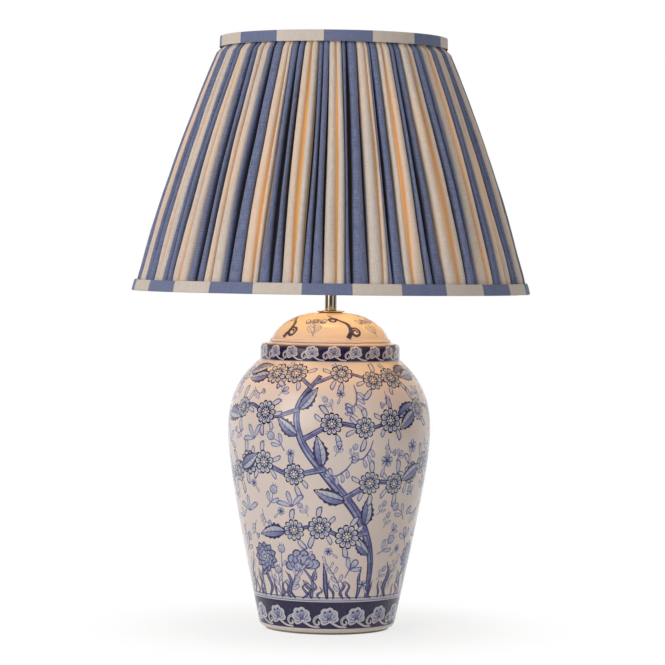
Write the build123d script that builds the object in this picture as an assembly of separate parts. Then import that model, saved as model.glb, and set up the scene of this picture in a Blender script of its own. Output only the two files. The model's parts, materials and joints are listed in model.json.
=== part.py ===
from build123d import *
import math
import os

# A table lamp: a lidded ceramic jar on a felt foot, a lampholder on a short stem, and a
# gathered empire shade on a wire frame. Millimetres, +Z up, -Y is the front.
# Heights are built up from the jar's foot rim, and the whole lamp is lifted by the felt's
# thickness when it is written, so the origin is the centre of the felt's underside.

# Clearances
seat_gap = 0.3  # between pieces that rest on, line or cover one another
screw_gap = 0.05  # radial, between a screwed rod or nut and its hole
turn_gap = 0.8  # radial, between the shade's fitter ring and the lampholder
slide_gap = 0.06  # radial, round the switch bar

# Felt foot
pad_thickness = 2.0
pad_margin = 1.0  # the felt stops this far inside the foot rim's edge

# Jar: a side of two long curves, foot to belly and belly to shoulder
jar_wall = 6.0
foot_rim_radius = 71.5
foot_rim_width = 5.5
foot_radius = 78.0
foot_edge_height = 9.0
belly_radius = 115.0
belly_height = 224.0
belly_reach_down = 33.0  # how far the upright at the belly is felt, below it
belly_reach_up = 36.0  # and above it
waist_pull_radius = 106.0
waist_pull_height = 142.0
shoulder_pull_radius = 104.0
shoulder_pull_height = 282.0
ledge_radius = 81.0
ledge_height = 302.5
neck_height = 10.5
floor_height = 26.0
floor_thickness = 7.0

# Lid: a collar that covers the jar's neck, a bead and a dome
collar_radius = 79.1
collar_wall = 6.5
collar_straight = 13.5
collar_round = 6.0
neck_clearance = 1.2
shelf_width = 2.6
shelf_rise = 1.0
bead_height = 3.0
bead_step = 3.2
bead_bevel = 1.5
dome_rise = 28.8
dome_flank_share = 0.55  # height of the dome's steep part, as a share of its rise
dome_flank_in = 5.8
dome_crown_radius = 40.0
lid_top_radius = 14.0
lid_wall = 6.0
lid_ceiling = 13.5  # over the ledge, clear of the neck

# Rod and its clamping pieces
rod_radius = 5.0
rod_bore = 3.5
rod_tail = 5.0  # below the nut
rod_engagement = 10.0  # inside the lampholder
nut_across_flats = 17.0
nut_thickness = 6.0
clamp_washer_radius = 14.0
clamp_washer_thickness = 1.5
rubber_washer_thickness = 1.5
lid_hole_clearance = 0.3
cap_gasket_radius = 13.0
cap_gasket_thickness = 0.8
vase_cap_radius = 16.0
vase_cap_thickness = 1.8
vase_cap_edge = 0.6

# Stem
stem_radius = 6.8
stem_wall = 1.6
stem_length = 31.2

# Cable gland, low in the back of the foot
gland_height = 13.0
gland_radius = 5.4
gland_bore = 3.6
gland_flange_radius = 8.0
gland_flange_proud = 2.6
gland_tail = 2.0  # inside the foot wall
gland_fit = 0.1

# Lampholder
holder_boss_radius = 9.0
holder_boss_height = 6.0
holder_flare_height = 6.0
holder_cap_height = 18.0
holder_cap_wall = 1.6
holder_radius = 19.0
switch_room_height = 20.0
switch_room_wall = 4.5
block_ledge_height = 14.0  # over the lampholder body's lower edge
shoulder_flange_radius = 22.5
shoulder_flange_thickness = 3.0
skirt_radius = 19.5
skirt_wall = 2.9
skirt_height = 29.0
block_thickness = 13.0
block_fit = 0.1
shell_radius = 14.3
shell_wall = 0.5
shell_height = 24.0
contact_height = 3.0
contact_length = 11.0
contact_width = 4.0
contact_sheet = 0.8
side_contact_height = 12.0
side_contact_width = 5.0
terminal_radius = 2.7
terminal_height = 2.4
terminal_x = 6.0
terminal_y = 8.6
lock_screw_radius = 1.5
lock_screw_proud = 1.0

# Shade clamping ring
clamp_ring_radius = 26.5
clamp_ring_height = 8.0
clamp_ring_edge = 1.2

# Switch bar
switch_bar_radius = 3.0
switch_bar_height = 7.0  # over the lampholder body's lower edge
switch_knob_radius = 4.0
switch_knob_length = 3.0
switch_travel = 6.0
switch_least_proud = 4.0

# Bulb
bulb_tip_radius = 4.8
bulb_tip_height = 2.0
bulb_insulator_height = 3.8
bulb_insulator_radius = 11.0
bulb_cap_radius = 13.2
bulb_cap_height = 20.0
bulb_thread_depth = 0.6
bulb_thread_turns = 5
bulb_collar_height = 20.0
bulb_collar_radius = 22.5
bulb_radius = 30.0
bulb_middle = 27.0  # globe centre over the collar
bulb_touch = 0.1

# Shade: its outline is the ridges of the pleats
shade_drop = 51.5  # from the lampholder's shoulder down to the shade's lower edge
shade_height = 288.4
ridge_bottom = 224.4
ridge_top = 125.6
shade_bow = 7.2
fold_count = 60
fold_depth_bottom = 7.0
fold_depth_middle = 7.5
fold_depth_top = 5.0
cloth_thickness = 1.2
lining_thickness = 0.8
binding_height = 12.5
binding_inner_height = 7.0
binding_thickness = 1.0

# Shade frame
ring_wire_radius = 2.0
strut_wire_radius = 1.5
strut_count = 8
strut_bow = 2.5
fitter_width = 7.0
fitter_thickness = 2.0
arm_wire_radius = 1.75
arm_count = 3
arm_first_angle = 90.0
arm_level_inner = 20.0
arm_level_outer = 20.0
arm_bend = 12.0

# Heights of the stack, from the jar's foot rim upwards
collar_top = ledge_height + collar_straight + collar_round
dome_base = collar_top + shelf_rise + bead_height + bead_bevel
lid_top = dome_base + dome_rise
vase_cap_base = lid_top + cap_gasket_thickness
stem_base = vase_cap_base + vase_cap_thickness
holder_base = stem_base + stem_length
body_base = holder_base + holder_cap_height
flange_base = body_base + switch_room_height
shade_seat = flange_base + shoulder_flange_thickness
skirt_top = shade_seat + skirt_height
block_base = body_base + block_ledge_height
block_top = block_base + block_thickness
bulb_base = block_top + contact_height + bulb_touch
fitter_base = shade_seat + seat_gap
clamp_ring_base = fitter_base + fitter_thickness + seat_gap
shade_base = shade_seat - shade_drop
shade_top = shade_base + shade_height
cloth_base = shade_base + binding_thickness + seat_gap
cloth_top = shade_top - binding_thickness - seat_gap

# Radii that follow from the pieces beside them
neck_radius = collar_radius - collar_wall - neck_clearance
rod_hole = rod_radius + lid_hole_clearance
fitter_bore = skirt_radius + turn_gap
fitter_radius = fitter_bore + fitter_width


def ridge_radius(height):
    """Radius of the pleats' ridges at a height, on the shade's slightly bowed side."""
    share = (height - cloth_base) / (cloth_top - cloth_base)
    straight = ridge_bottom + (ridge_top - ridge_bottom) * share
    return straight + 4 * shade_bow * share * (1 - share)


def fold_depth(height):
    """Depth of the pleats at a height, on a smooth curve through its three named depths."""
    share = (height - cloth_base) / (cloth_top - cloth_base)
    straight = fold_depth_bottom + (fold_depth_top - fold_depth_bottom) * share
    swell = fold_depth_middle - (fold_depth_bottom + fold_depth_top) / 2
    return straight + 4 * swell * share * (1 - share)


def wire_limit(height):
    """The largest radius that a ring wire's centre line has inside the cloth at a height."""
    cloth_inside = ridge_radius(height) - fold_depth(height) - cloth_thickness
    return cloth_inside - seat_gap - ring_wire_radius


bottom_ring_height = cloth_base + ring_wire_radius
top_ring_height = cloth_top - ring_wire_radius
bottom_ring_radius = wire_limit(bottom_ring_height + ring_wire_radius)
top_ring_radius = wire_limit(cloth_top)

pieces = {}


def turned(*lines):
    """A solid of revolution about Z from a closed outline of lines drawn as (radius, height)."""
    return revolve(Plane.XZ * make_face(Curve() + list(lines)), Axis.Z)


def turned_path(*points):
    """A solid of revolution from a closed outline of straight lines."""
    return turned(Polyline(*points, close=True))


def tube(outer, inner, low, high):
    """An upright tube, or a rod where inner is 0."""
    ring = Circle(outer) - Circle(inner) if inner else Circle(outer)
    return Pos(0, 0, low) * extrude(ring, high - low)


def lying_rod(radius, start, end, height):
    """A round bar along Y from start to end."""
    return Pos(0, start, height) * Rot(-90, 0, 0) * extrude(Circle(radius), end - start)


def wire_along(path, radius):
    """A round wire along a path."""
    return sweep(Plane(path @ 0, z_dir=path % 0) * Circle(radius), path=path)


# --- Jar ------------------------------------------------------------------------------

def jar_side(inset):
    """The jar's side from the foot's edge to the shoulder's ledge, inset from its face."""
    lower = Bezier(
        (foot_radius - inset, foot_edge_height),
        (waist_pull_radius - inset, waist_pull_height),
        (belly_radius - inset, belly_height - belly_reach_down),
        (belly_radius - inset, belly_height),
    )
    shoulder = Bezier(
        (belly_radius - inset, belly_height),
        (belly_radius - inset, belly_height + belly_reach_up - inset / 2),
        (shoulder_pull_radius - inset, shoulder_pull_height - inset),
        (ledge_radius - inset, ledge_height - inset),
    )
    return [lower, shoulder]


neck_top = ledge_height + neck_height
neck_bore = neck_radius - jar_wall
foot_bore = foot_rim_radius - foot_rim_width
foot_edge = Bezier(
    (foot_rim_radius, 0),
    (foot_radius - 1, foot_edge_height / 15),
    (foot_radius, foot_edge_height),
)
jar_outside = turned(
    foot_edge,
    *jar_side(0),
    Polyline(
        (ledge_radius, ledge_height),
        (neck_radius, ledge_height),
        (neck_radius, neck_top),
        (0, neck_top),
        (0, 0),
        (foot_rim_radius, 0),
    ),
)
jar_inside = turned(
    Line((foot_bore, 0), (foot_radius - jar_wall, foot_edge_height)),
    *jar_side(jar_wall),
    Polyline(
        (ledge_radius - jar_wall, ledge_height - jar_wall),
        (neck_bore, ledge_height - jar_wall),
        (neck_bore, neck_top),
        (0, neck_top),
        (0, 0),
        (foot_bore, 0),
    ),
)
floor_disc = tube(belly_radius, 0, floor_height, floor_height + floor_thickness)
gland_hole = lying_rod(gland_radius + gland_fit, foot_bore / 2, belly_radius, gland_height)
pieces["jar_body"] = (
    jar_outside - (jar_inside - floor_disc) - tube(rod_hole, 0, 0, ledge_height) - gland_hole
)

pieces["base_pad"] = tube(foot_rim_radius - pad_margin, 0, -pad_thickness, 0)

gland_face = foot_radius + gland_flange_proud
gland_flange = lying_rod(gland_flange_radius, foot_bore, gland_face, gland_height) - jar_outside
gland_body = lying_rod(
    gland_radius, foot_radius - jar_wall - gland_tail, gland_face, gland_height
)
gland_passage = lying_rod(gland_bore, 0, gland_face, gland_height)
pieces["cord_gland"] = gland_flange + gland_body - gland_passage

# --- Lid ------------------------------------------------------------------------------

bead_radius = collar_radius - collar_round - shelf_width
dome_radius = bead_radius - bead_step


def dome(inset):
    """The lid's dome, inset from its face."""
    return Bezier(
        (dome_radius - inset, dome_base),
        (dome_radius - dome_flank_in - inset, dome_base + dome_flank_share * dome_rise - inset / 2),
        (dome_crown_radius, lid_top - inset),
        (lid_top_radius, lid_top - inset),
    )


lid_outside = turned(
    Line((collar_radius, ledge_height), (collar_radius, ledge_height + collar_straight)),
    RadiusArc(
        (collar_radius, ledge_height + collar_straight),
        (collar_radius - collar_round, collar_top),
        -collar_round,
    ),
    Polyline(
        (collar_radius - collar_round, collar_top),
        (bead_radius, collar_top + shelf_rise),
        (bead_radius, collar_top + shelf_rise + bead_height),
        (dome_radius, dome_base),
    ),
    dome(0),
    Polyline(
        (lid_top_radius, lid_top),
        (rod_hole, lid_top),
        (rod_hole, ledge_height),
        (collar_radius, ledge_height),
    ),
)
lid_inside = turned(
    dome(lid_wall),
    Polyline(
        (lid_top_radius, lid_top - lid_wall),
        (0, lid_top - lid_wall),
        (0, ledge_height),
        (collar_radius - collar_wall, ledge_height),
        (collar_radius - collar_wall, ledge_height + lid_ceiling),
        (dome_radius - lid_wall, ledge_height + lid_ceiling),
        (dome_radius - lid_wall, dome_base),
    ),
)
pieces["jar_lid"] = lid_outside - lid_inside

# --- Rod, clamp and stem --------------------------------------------------------------

rubber_washer_base = floor_height - rubber_washer_thickness
clamp_washer_base = rubber_washer_base - clamp_washer_thickness
nut_base = clamp_washer_base - nut_thickness
pieces["threaded_rod"] = tube(
    rod_radius, rod_bore, nut_base - rod_tail, holder_base + rod_engagement
)
pieces["rubber_clamp_washer"] = tube(
    clamp_washer_radius, rod_hole, rubber_washer_base, floor_height
)
pieces["steel_clamp_washer"] = tube(
    clamp_washer_radius, rod_hole, clamp_washer_base, rubber_washer_base
)
nut_outline = RegularPolygon(nut_across_flats / 2, 6, major_radius=False)
pieces["rod_nut"] = Pos(0, 0, nut_base) * extrude(
    nut_outline - Circle(rod_radius + screw_gap), nut_thickness
)
pieces["vase_cap_gasket"] = tube(cap_gasket_radius, rod_hole, lid_top, vase_cap_base)
vase_cap = tube(vase_cap_radius, rod_radius + screw_gap, vase_cap_base, stem_base)
vase_cap_rims = vase_cap.edges().filter_by(GeomType.CIRCLE).filter_by(
    lambda edge: edge.radius > cap_gasket_radius
)
pieces["vase_cap"] = fillet(vase_cap_rims, vase_cap_edge)
pieces["stem_tube"] = tube(stem_radius, stem_radius - stem_wall, stem_base, holder_base)

# --- Lampholder -----------------------------------------------------------------------

cap_flare_base = holder_base + holder_boss_height
cap_flare_top = cap_flare_base + holder_flare_height
cap_bore = holder_radius - holder_cap_wall
lock_screw_height = holder_base + holder_boss_height / 2
holder_cap = turned_path(
    (rod_radius + screw_gap, holder_base),
    (holder_boss_radius, holder_base),
    (holder_boss_radius, cap_flare_base),
    (holder_radius, cap_flare_top),
    (holder_radius, body_base),
    (cap_bore, body_base),
    (cap_bore, cap_flare_top + holder_cap_wall),
    (holder_boss_radius, cap_flare_base + holder_cap_wall),
    (rod_radius + screw_gap, cap_flare_base + holder_cap_wall),
)
lock_screw_hole = lying_rod(
    lock_screw_radius + screw_gap, rod_radius, holder_boss_radius, lock_screw_height
)
pieces["lampholder_cap"] = holder_cap - lock_screw_hole
pieces["rod_lock_screw"] = lying_rod(
    lock_screw_radius,
    rod_radius + screw_gap,
    holder_boss_radius + lock_screw_proud,
    lock_screw_height,
)

switch_room_bore = holder_radius - switch_room_wall
skirt_bore = skirt_radius - skirt_wall
bar_level = body_base + switch_bar_height
holder_body = turned_path(
    (switch_room_bore, body_base),
    (holder_radius, body_base),
    (holder_radius, flange_base),
    (shoulder_flange_radius, flange_base),
    (shoulder_flange_radius, shade_seat),
    (skirt_radius, shade_seat),
    (skirt_radius, skirt_top),
    (skirt_bore, skirt_top),
    (skirt_bore, block_base),
    (switch_room_bore, block_base),
)
bar_passage = Pos(0, 0, bar_level) * Rot(0, 90, 0) * Cylinder(
    switch_bar_radius + slide_gap, 2 * shoulder_flange_radius
)
pieces["lampholder_body"] = holder_body - bar_passage

block = tube(skirt_bore - block_fit, 0, block_base, block_top)
pieces["contact_block"] = block
pieces["screw_shell"] = tube(
    shell_radius, shell_radius - shell_wall, block_top, block_top + shell_height
)
tongue = Polyline(
    (-contact_length + contact_width / 2, 0),
    (-contact_length + contact_width / 2, contact_sheet),
    (-contact_width, contact_sheet),
    (-contact_width / 2, contact_height),
    (contact_width / 2, contact_height),
    (contact_width / 2, contact_height - contact_sheet),
    (-contact_width / 2 + contact_sheet, contact_height - contact_sheet),
    (-contact_width + contact_sheet, 0),
    close=True,
)
pieces["centre_contact"] = Pos(0, 0, block_top) * extrude(
    Plane.XZ * make_face(tongue), contact_width / 2, both=True
)
side_contact_radius = (shell_radius + skirt_bore) / 2
pieces["side_contact"] = Pos(side_contact_radius, 0, block_top) * Box(
    contact_sheet,
    side_contact_width,
    side_contact_height,
    align=(Align.CENTER, Align.CENTER, Align.MIN),
)
terminal_head = Cylinder(
    terminal_radius, terminal_height, align=(Align.CENTER, Align.CENTER, Align.MAX)
)
pieces["terminal_screws"] = Compound(
    [
        Pos(side * terminal_x, end * terminal_y, block_base) * terminal_head
        for side in (-1, 1)
        for end in (-1, 1)
    ]
)

clamp_ring = tube(
    clamp_ring_radius,
    skirt_radius + screw_gap,
    clamp_ring_base,
    clamp_ring_base + clamp_ring_height,
)
clamp_ring_rims = clamp_ring.edges().filter_by(GeomType.CIRCLE).filter_by(
    lambda edge: edge.radius > fitter_bore
)
pieces["shade_clamp_ring"] = fillet(clamp_ring_rims, clamp_ring_edge)

bar_half = holder_radius + switch_least_proud + switch_travel / 2
bar_rod = Cylinder(switch_bar_radius, 2 * bar_half)
bar_knob = Cylinder(switch_knob_radius, switch_knob_length)
knob_middle = bar_half - switch_knob_length / 2
switch_bar = bar_rod + Pos(0, 0, knob_middle) * bar_knob + Pos(0, 0, -knob_middle) * bar_knob
pieces["switch_bar"] = Pos(-switch_travel / 2, 0, bar_level) * Rot(0, 90, 0) * switch_bar

# --- Bulb -----------------------------------------------------------------------------

insulator_base = bulb_base + bulb_tip_height
bulb_cap_base = insulator_base + bulb_insulator_height
bulb_cap_top = bulb_cap_base + bulb_cap_height
collar_end = bulb_cap_top + bulb_collar_height
pieces["bulb_tip"] = tube(bulb_tip_radius, 0, bulb_base, insulator_base)
pieces["bulb_insulator"] = turned_path(
    (0, insulator_base),
    (bulb_tip_radius, insulator_base),
    (bulb_insulator_radius, bulb_cap_base),
    (0, bulb_cap_base),
)
thread_pitch = bulb_cap_height / (bulb_thread_turns + 1)
thread_points = [(0, bulb_cap_base), (bulb_insulator_radius, bulb_cap_base)]
for turn in range(bulb_thread_turns):
    groove = bulb_cap_base + (turn + 0.5) * thread_pitch
    thread_points.append((bulb_cap_radius - bulb_thread_depth, groove))
    thread_points.append((bulb_cap_radius, groove + thread_pitch / 2))
thread_points.append((bulb_cap_radius, bulb_cap_top))
thread_points.append((0, bulb_cap_top))
pieces["bulb_cap"] = turned_path(*thread_points)
pieces["bulb_collar"] = turned(
    Polyline((0, collar_end), (0, bulb_cap_top), (bulb_cap_radius, bulb_cap_top)),
    Bezier(
        (bulb_cap_radius, bulb_cap_top),
        (bulb_cap_radius, bulb_cap_top + bulb_collar_height / 2),
        (bulb_collar_radius, collar_end),
    ),
    Line((bulb_collar_radius, collar_end), (0, collar_end)),
)
globe_height = collar_end + bulb_middle
globe_top = globe_height + bulb_radius
pieces["bulb_globe"] = turned(
    Line((0, collar_end), (bulb_collar_radius, collar_end)),
    Bezier(
        (bulb_collar_radius, collar_end),
        (bulb_radius, collar_end + bulb_middle / 2),
        (bulb_radius, globe_height),
    ),
    RadiusArc((bulb_radius, globe_height), (0, globe_top), -bulb_radius),
    Line((0, globe_top), (0, collar_end)),
)

# --- Shade frame ----------------------------------------------------------------------

def torus_ring(radius, height):
    """A closed wire ring."""
    return Pos(0, 0, height) * Torus(radius, ring_wire_radius)


pieces["bottom_ring_wire"] = torus_ring(bottom_ring_radius, bottom_ring_height)
pieces["top_ring_wire"] = torus_ring(top_ring_radius, top_ring_height)

def frame_radius(height):
    """Radius of the straight line between the centres of the two ring wires."""
    share = (height - bottom_ring_height) / (top_ring_height - bottom_ring_height)
    return bottom_ring_radius + (top_ring_radius - bottom_ring_radius) * share


strut_low = bottom_ring_height + ring_wire_radius + seat_gap
strut_middle = (bottom_ring_height + top_ring_height) / 2
strut_high = top_ring_height - ring_wire_radius - seat_gap
strut_path = Plane.XZ * ThreePointArc(
    (frame_radius(strut_low), strut_low),
    (frame_radius(strut_middle) + strut_bow, strut_middle),
    (frame_radius(strut_high), strut_high),
)
strut = wire_along(strut_path, strut_wire_radius)
for number in range(strut_count):
    turn_angle = (number + 0.5) * 360 / strut_count
    pieces[f"strut_{number + 1}"] = Rot(0, 0, turn_angle) * strut

pieces["fitter_ring"] = tube(
    fitter_radius, fitter_bore, fitter_base, fitter_base + fitter_thickness
)
arm_level = fitter_base + fitter_thickness / 2
arm_start = fitter_radius + seat_gap
arm_end = bottom_ring_radius - ring_wire_radius - seat_gap


def arm_wire(radius):
    """One arm from the fitter ring, level, down and level again to the bottom ring."""
    path = Plane.XZ * FilletPolyline(
        (arm_start, arm_level),
        (arm_start + arm_level_inner, arm_level),
        (arm_end - arm_level_outer, bottom_ring_height),
        (arm_end, bottom_ring_height),
        radius=arm_bend,
    )
    return wire_along(path, radius)


arm_angles = [arm_first_angle + number * 360 / arm_count for number in range(arm_count)]
for number, angle in enumerate(arm_angles):
    pieces[f"fitter_arm_{number + 1}"] = Rot(0, 0, angle) * arm_wire(arm_wire_radius)

# --- Shade cloth ----------------------------------------------------------------------

def fold_ring(height, skin):
    """One ring of pleats: arcs that bulge out and in by turns, all under a half circle.

    skin is +1 for the cloth's outer face and -1 for its inner face.
    """
    swing = fold_depth(height) / 2
    middle = ridge_radius(height) - cloth_thickness / 2 - swing
    arc_count = 2 * fold_count
    step = 2 * math.pi / arc_count
    half_chord = middle * math.sin(step / 2)
    lean = 2 * math.atan(swing / half_chord)
    face = skin * cloth_thickness / 2

    def point(radius, angle, slip):
        across = radius * math.cos(angle) - slip * math.sin(angle)
        along = radius * math.sin(angle) + slip * math.cos(angle)
        return (across, along, height)

    joints = []
    crests = []
    for index in range(arc_count):
        way = 1 if index % 2 == 0 else -1
        joints.append(
            point(middle + face * math.cos(lean), index * step, -way * face * math.sin(lean))
        )
        crests.append(point(middle + way * swing + face, (index + 0.5) * step, 0))
    arcs = [
        ThreePointArc(joints[index], crests[index], joints[(index + 1) % arc_count])
        for index in range(arc_count)
    ]
    return make_face(Curve() + arcs)


def fold_solid(skin):
    """The space inside one face of the pleated cloth."""
    heights = (cloth_base, (cloth_base + cloth_top) / 2, cloth_top)
    return loft([fold_ring(height, skin) for height in heights])


pieces["pleated_cloth"] = fold_solid(1) - fold_solid(-1)


def lining_radius(height):
    """Outer radius of the lining's straight cone, inside the two ring wires."""
    return frame_radius(height) - ring_wire_radius - seat_gap


lining_base = bottom_ring_height + ring_wire_radius + seat_gap
lining_top = cloth_top
pieces["shade_lining"] = turned_path(
    (lining_radius(lining_base), lining_base),
    (lining_radius(lining_top), lining_top),
    (lining_radius(lining_top) - lining_thickness, lining_top),
    (lining_radius(lining_base) - lining_thickness, lining_base),
)


def binding(edge, way):
    """A folded band over the cloth's edge: an outer leg, a web and a shorter inner leg."""
    web = edge + way * binding_thickness
    outer_end = edge + way * binding_height
    inner_end = edge + way * binding_inner_height
    inner_gap = lining_thickness + seat_gap

    def inner_leg(height):
        return lining_radius(height) - inner_gap

    outer_at_web = max(ridge_radius(web), ridge_radius(edge)) + seat_gap
    outer_at_end = ridge_radius(outer_end) + seat_gap
    return turned_path(
        (outer_at_web + binding_thickness, edge),
        (outer_at_end + binding_thickness, outer_end),
        (outer_at_end, outer_end),
        (outer_at_web, web),
        (inner_leg(web), web),
        (inner_leg(inner_end), inner_end),
        (inner_leg(inner_end) - binding_thickness, inner_end),
        (inner_leg(edge) - binding_thickness, edge),
    )


bottom_binding = binding(shade_base, 1)
for angle in arm_angles:
    bottom_binding = bottom_binding - Rot(0, 0, angle) * arm_wire(arm_wire_radius + seat_gap)
pieces["bottom_binding"] = bottom_binding
pieces["top_binding"] = binding(shade_top, -1)

# --- Files ----------------------------------------------------------------------------

os.makedirs("parts", exist_ok=True)
for name, piece in pieces.items():
    export_step(Pos(0, 0, pad_thickness) * piece, f"parts/{name}.step")
print("overall height", round(shade_top + pad_thickness, 2))
print("lampholder shoulder", round(shade_seat + pad_thickness, 2))
print("switch bar height", round(bar_level + pad_thickness, 2))
print("globe centre", round(globe_height + pad_thickness, 2))
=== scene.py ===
import bisect
import json
import math
import random

import bmesh
import bpy
import numpy
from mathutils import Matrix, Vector
from mathutils.geometry import delaunay_2d_cdt


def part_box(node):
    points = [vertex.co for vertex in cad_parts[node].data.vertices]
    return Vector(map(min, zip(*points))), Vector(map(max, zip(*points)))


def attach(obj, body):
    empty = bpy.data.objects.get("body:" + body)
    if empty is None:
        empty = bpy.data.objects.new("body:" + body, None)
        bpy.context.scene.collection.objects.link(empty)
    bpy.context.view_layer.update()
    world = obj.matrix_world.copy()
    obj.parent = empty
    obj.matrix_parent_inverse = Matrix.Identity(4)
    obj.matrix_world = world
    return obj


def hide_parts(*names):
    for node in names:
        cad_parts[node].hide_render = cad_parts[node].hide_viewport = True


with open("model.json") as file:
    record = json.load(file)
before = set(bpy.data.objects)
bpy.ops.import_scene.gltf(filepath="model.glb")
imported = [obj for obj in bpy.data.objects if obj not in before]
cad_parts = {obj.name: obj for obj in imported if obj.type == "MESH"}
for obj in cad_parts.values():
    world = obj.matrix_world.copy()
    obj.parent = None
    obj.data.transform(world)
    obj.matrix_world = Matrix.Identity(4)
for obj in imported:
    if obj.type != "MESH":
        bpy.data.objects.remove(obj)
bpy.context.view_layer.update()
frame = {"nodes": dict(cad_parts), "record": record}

# A ginger jar lamp with a gathered shade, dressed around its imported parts.
# Lengths are written in millimetres and become metres where a mesh is made.
# Angles go round the lamp from the front (-Y), to the right as the camera sees it.

MM = 0.001
MERGE = 1e-6  # metres within which two points of a mesh are one
NO_AREA = 1e-13  # square metres under which a face is dropped

# --- Sizes ----------------------------------------------------------------------------

# Jar side, as the curves that the solid follows, over the foot rim
FOOT_RIM_RADIUS = 71.5
FOOT_RIM_WIDTH = 5.5
FOOT_RADIUS = 78.0
FOOT_EDGE = 9.0
BELLY_RADIUS = 115.0
BELLY_HEIGHT = 224.0
WAIST_PULL = (106.0, 142.0)
BELLY_REACH_DOWN = 33.0
BELLY_REACH_UP = 36.0
SHOULDER_PULL = (104.0, 282.0)
LEDGE_RADIUS = 81.0
JAR_WALL = 6.0
FLOOR_HEIGHT = 26.0  # underside of the jar's own floor
FLOOR_THICKNESS = 7.0
NECK_RADIUS = 71.4
ROD_HOLE = 5.3

# Lid
COLLAR_STRAIGHT = 13.5
COLLAR_ROUND = 6.0
COLLAR_WALL = 6.5
BEAD_RADIUS = 68.6
BEAD_HEIGHT = 3.0
DOME_RADIUS = 66.0
DOME_FLANK = (5.8, 0.55)
DOME_CROWN = 37.0
LID_TOP_RADIUS = 14.0
LID_WALL = 6.0
LID_CEILING = 13.5
SHELF_RISE = 1.0  # from the collar's round edge to the shelf under the bead
DOME_STEP = 1.5  # from the bead to the dome

# Metal and lampholder, as radii but for the wall
ROD_BORE = 5.1
HOLDER_NECK = 9.0
HOLDER_CAP = 19.0
HOLDER_WALL = 1.6
HOLDER_THREAD = 19.6

# Shade cloth
STRIPE = 54.5  # width of one woven stripe, laid flat
STRIPES = 58
COLUMNS_IN_STRIPE = 32
CLOTH_ROWS = 48
RIDGE_BOTTOM = 224.4
RIDGE_TOP = 126.8
SHADE_BOW = 7.0
BINDING_HEIGHT = 12.5
BINDING_INSIDE = 7.0
CLOTH_TURN = 2.1  # degrees that the first stripe lies past the back
PLEAT_DEPTH_BOTTOM = 7.8
PLEAT_DEPTH_MIDDLE = 12.5
PLEAT_DEPTH_TOP = 6.0
BINDING_TOP_RADIUS = 129.0
LINING_TOP_RADIUS = 114.0

# Painting: the foot band's two heights, and how far up the side the plants stand
FOOT_BAND = (7.4, 38.0)
FIELD_BASE = 44.0
SEAM = -95.0  # degrees round the pot at which its unrolled sheet ends
EDGE_GAP = 1e-3  # millimetres within which a point lies on the sheet's edge
PAINT_MARGIN = 0.3  # millimetres at the sheet's upper and lower edge that stay unpainted
NARROWEST = 12.0  # radius under which a motif is spread no wider

# Camera, read from the photograph's perspective
PIXEL = 1.137  # millimetres on the lamp's axis in one pixel
FRAME_PIXELS = 665
FOCAL_PIXELS = 2900
HORIZON_ROW = 249.5
GROUND_ROW = 627.8
AXIS_COLUMN = 330.4
ROLL = 0.7  # degrees

# Light: the world's strength round the lamp and of the two panels beside the camera
WORLD_FRONT = 0.1
WORLD_BACK = 0.7
WORLD_ABOVE = 0.25
PANEL_LEFT = 1.9
PANEL_RIGHT = 0.8
BULB_LIGHT = 38.0
PAINTED_GLOW_HEIGHT = 0.135  # metres up the flat cloth at which the painted glow of the lit bulb through it is strongest
PAINTED_GLOW_SPREAD = 0.21  # metres from there at which the painted glow ends

# Floor, in metres
FLOOR_HALF = 2.4
FLOOR_LEVEL = -0.0002
FLOOR_FADE = (0.08, 0.3)  # distances from the lamp between which its shadow fades


def heights(node):
    """Lowest and highest point of a CAD node, in millimetres."""
    low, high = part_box(node)
    return low.z / MM, high.z / MM


def radius_of(node):
    """Half the width of a round CAD node, in millimetres."""
    low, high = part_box(node)
    return (high.x - low.x) / 2 / MM


# --- Camera and light -----------------------------------------------------------------

def add_camera():
    """The camera at the photograph's viewing angle."""
    data = bpy.data.cameras.new("camera")
    camera = bpy.data.objects.new("camera", data)
    bpy.context.scene.collection.objects.link(camera)
    distance = FOCAL_PIXELS * PIXEL * MM
    middle = FRAME_PIXELS / 2
    eye_height = (GROUND_ROW - HORIZON_ROW) * PIXEL * MM
    tilt = math.atan((middle - HORIZON_ROW) / FOCAL_PIXELS)
    aim_right = (middle - AXIS_COLUMN) * PIXEL * MM
    data.sensor_width = 36
    data.lens = FOCAL_PIXELS / FRAME_PIXELS * data.sensor_width
    data.clip_end = 100
    camera.location = (aim_right, -distance, eye_height)
    camera.rotation_mode = "XYZ"
    camera.rotation_euler = (math.radians(90) - tilt, 0, 0)
    camera.rotation_euler.rotate_axis("Z", math.radians(ROLL))
    bpy.context.scene.camera = camera


def add_area_light(name, place, aim, size, power):
    """A soft studio light at a place in metres, turned to aim."""
    data = bpy.data.lights.new(name, "AREA")
    data.shape = "RECTANGLE"
    data.size, data.size_y = size
    data.energy = power
    light = bpy.data.objects.new(name, data)
    bpy.context.scene.collection.objects.link(light)
    light.location = place
    light.rotation_euler = (Vector(aim) - Vector(place)).to_track_quat("-Z", "Y").to_euler()


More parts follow.
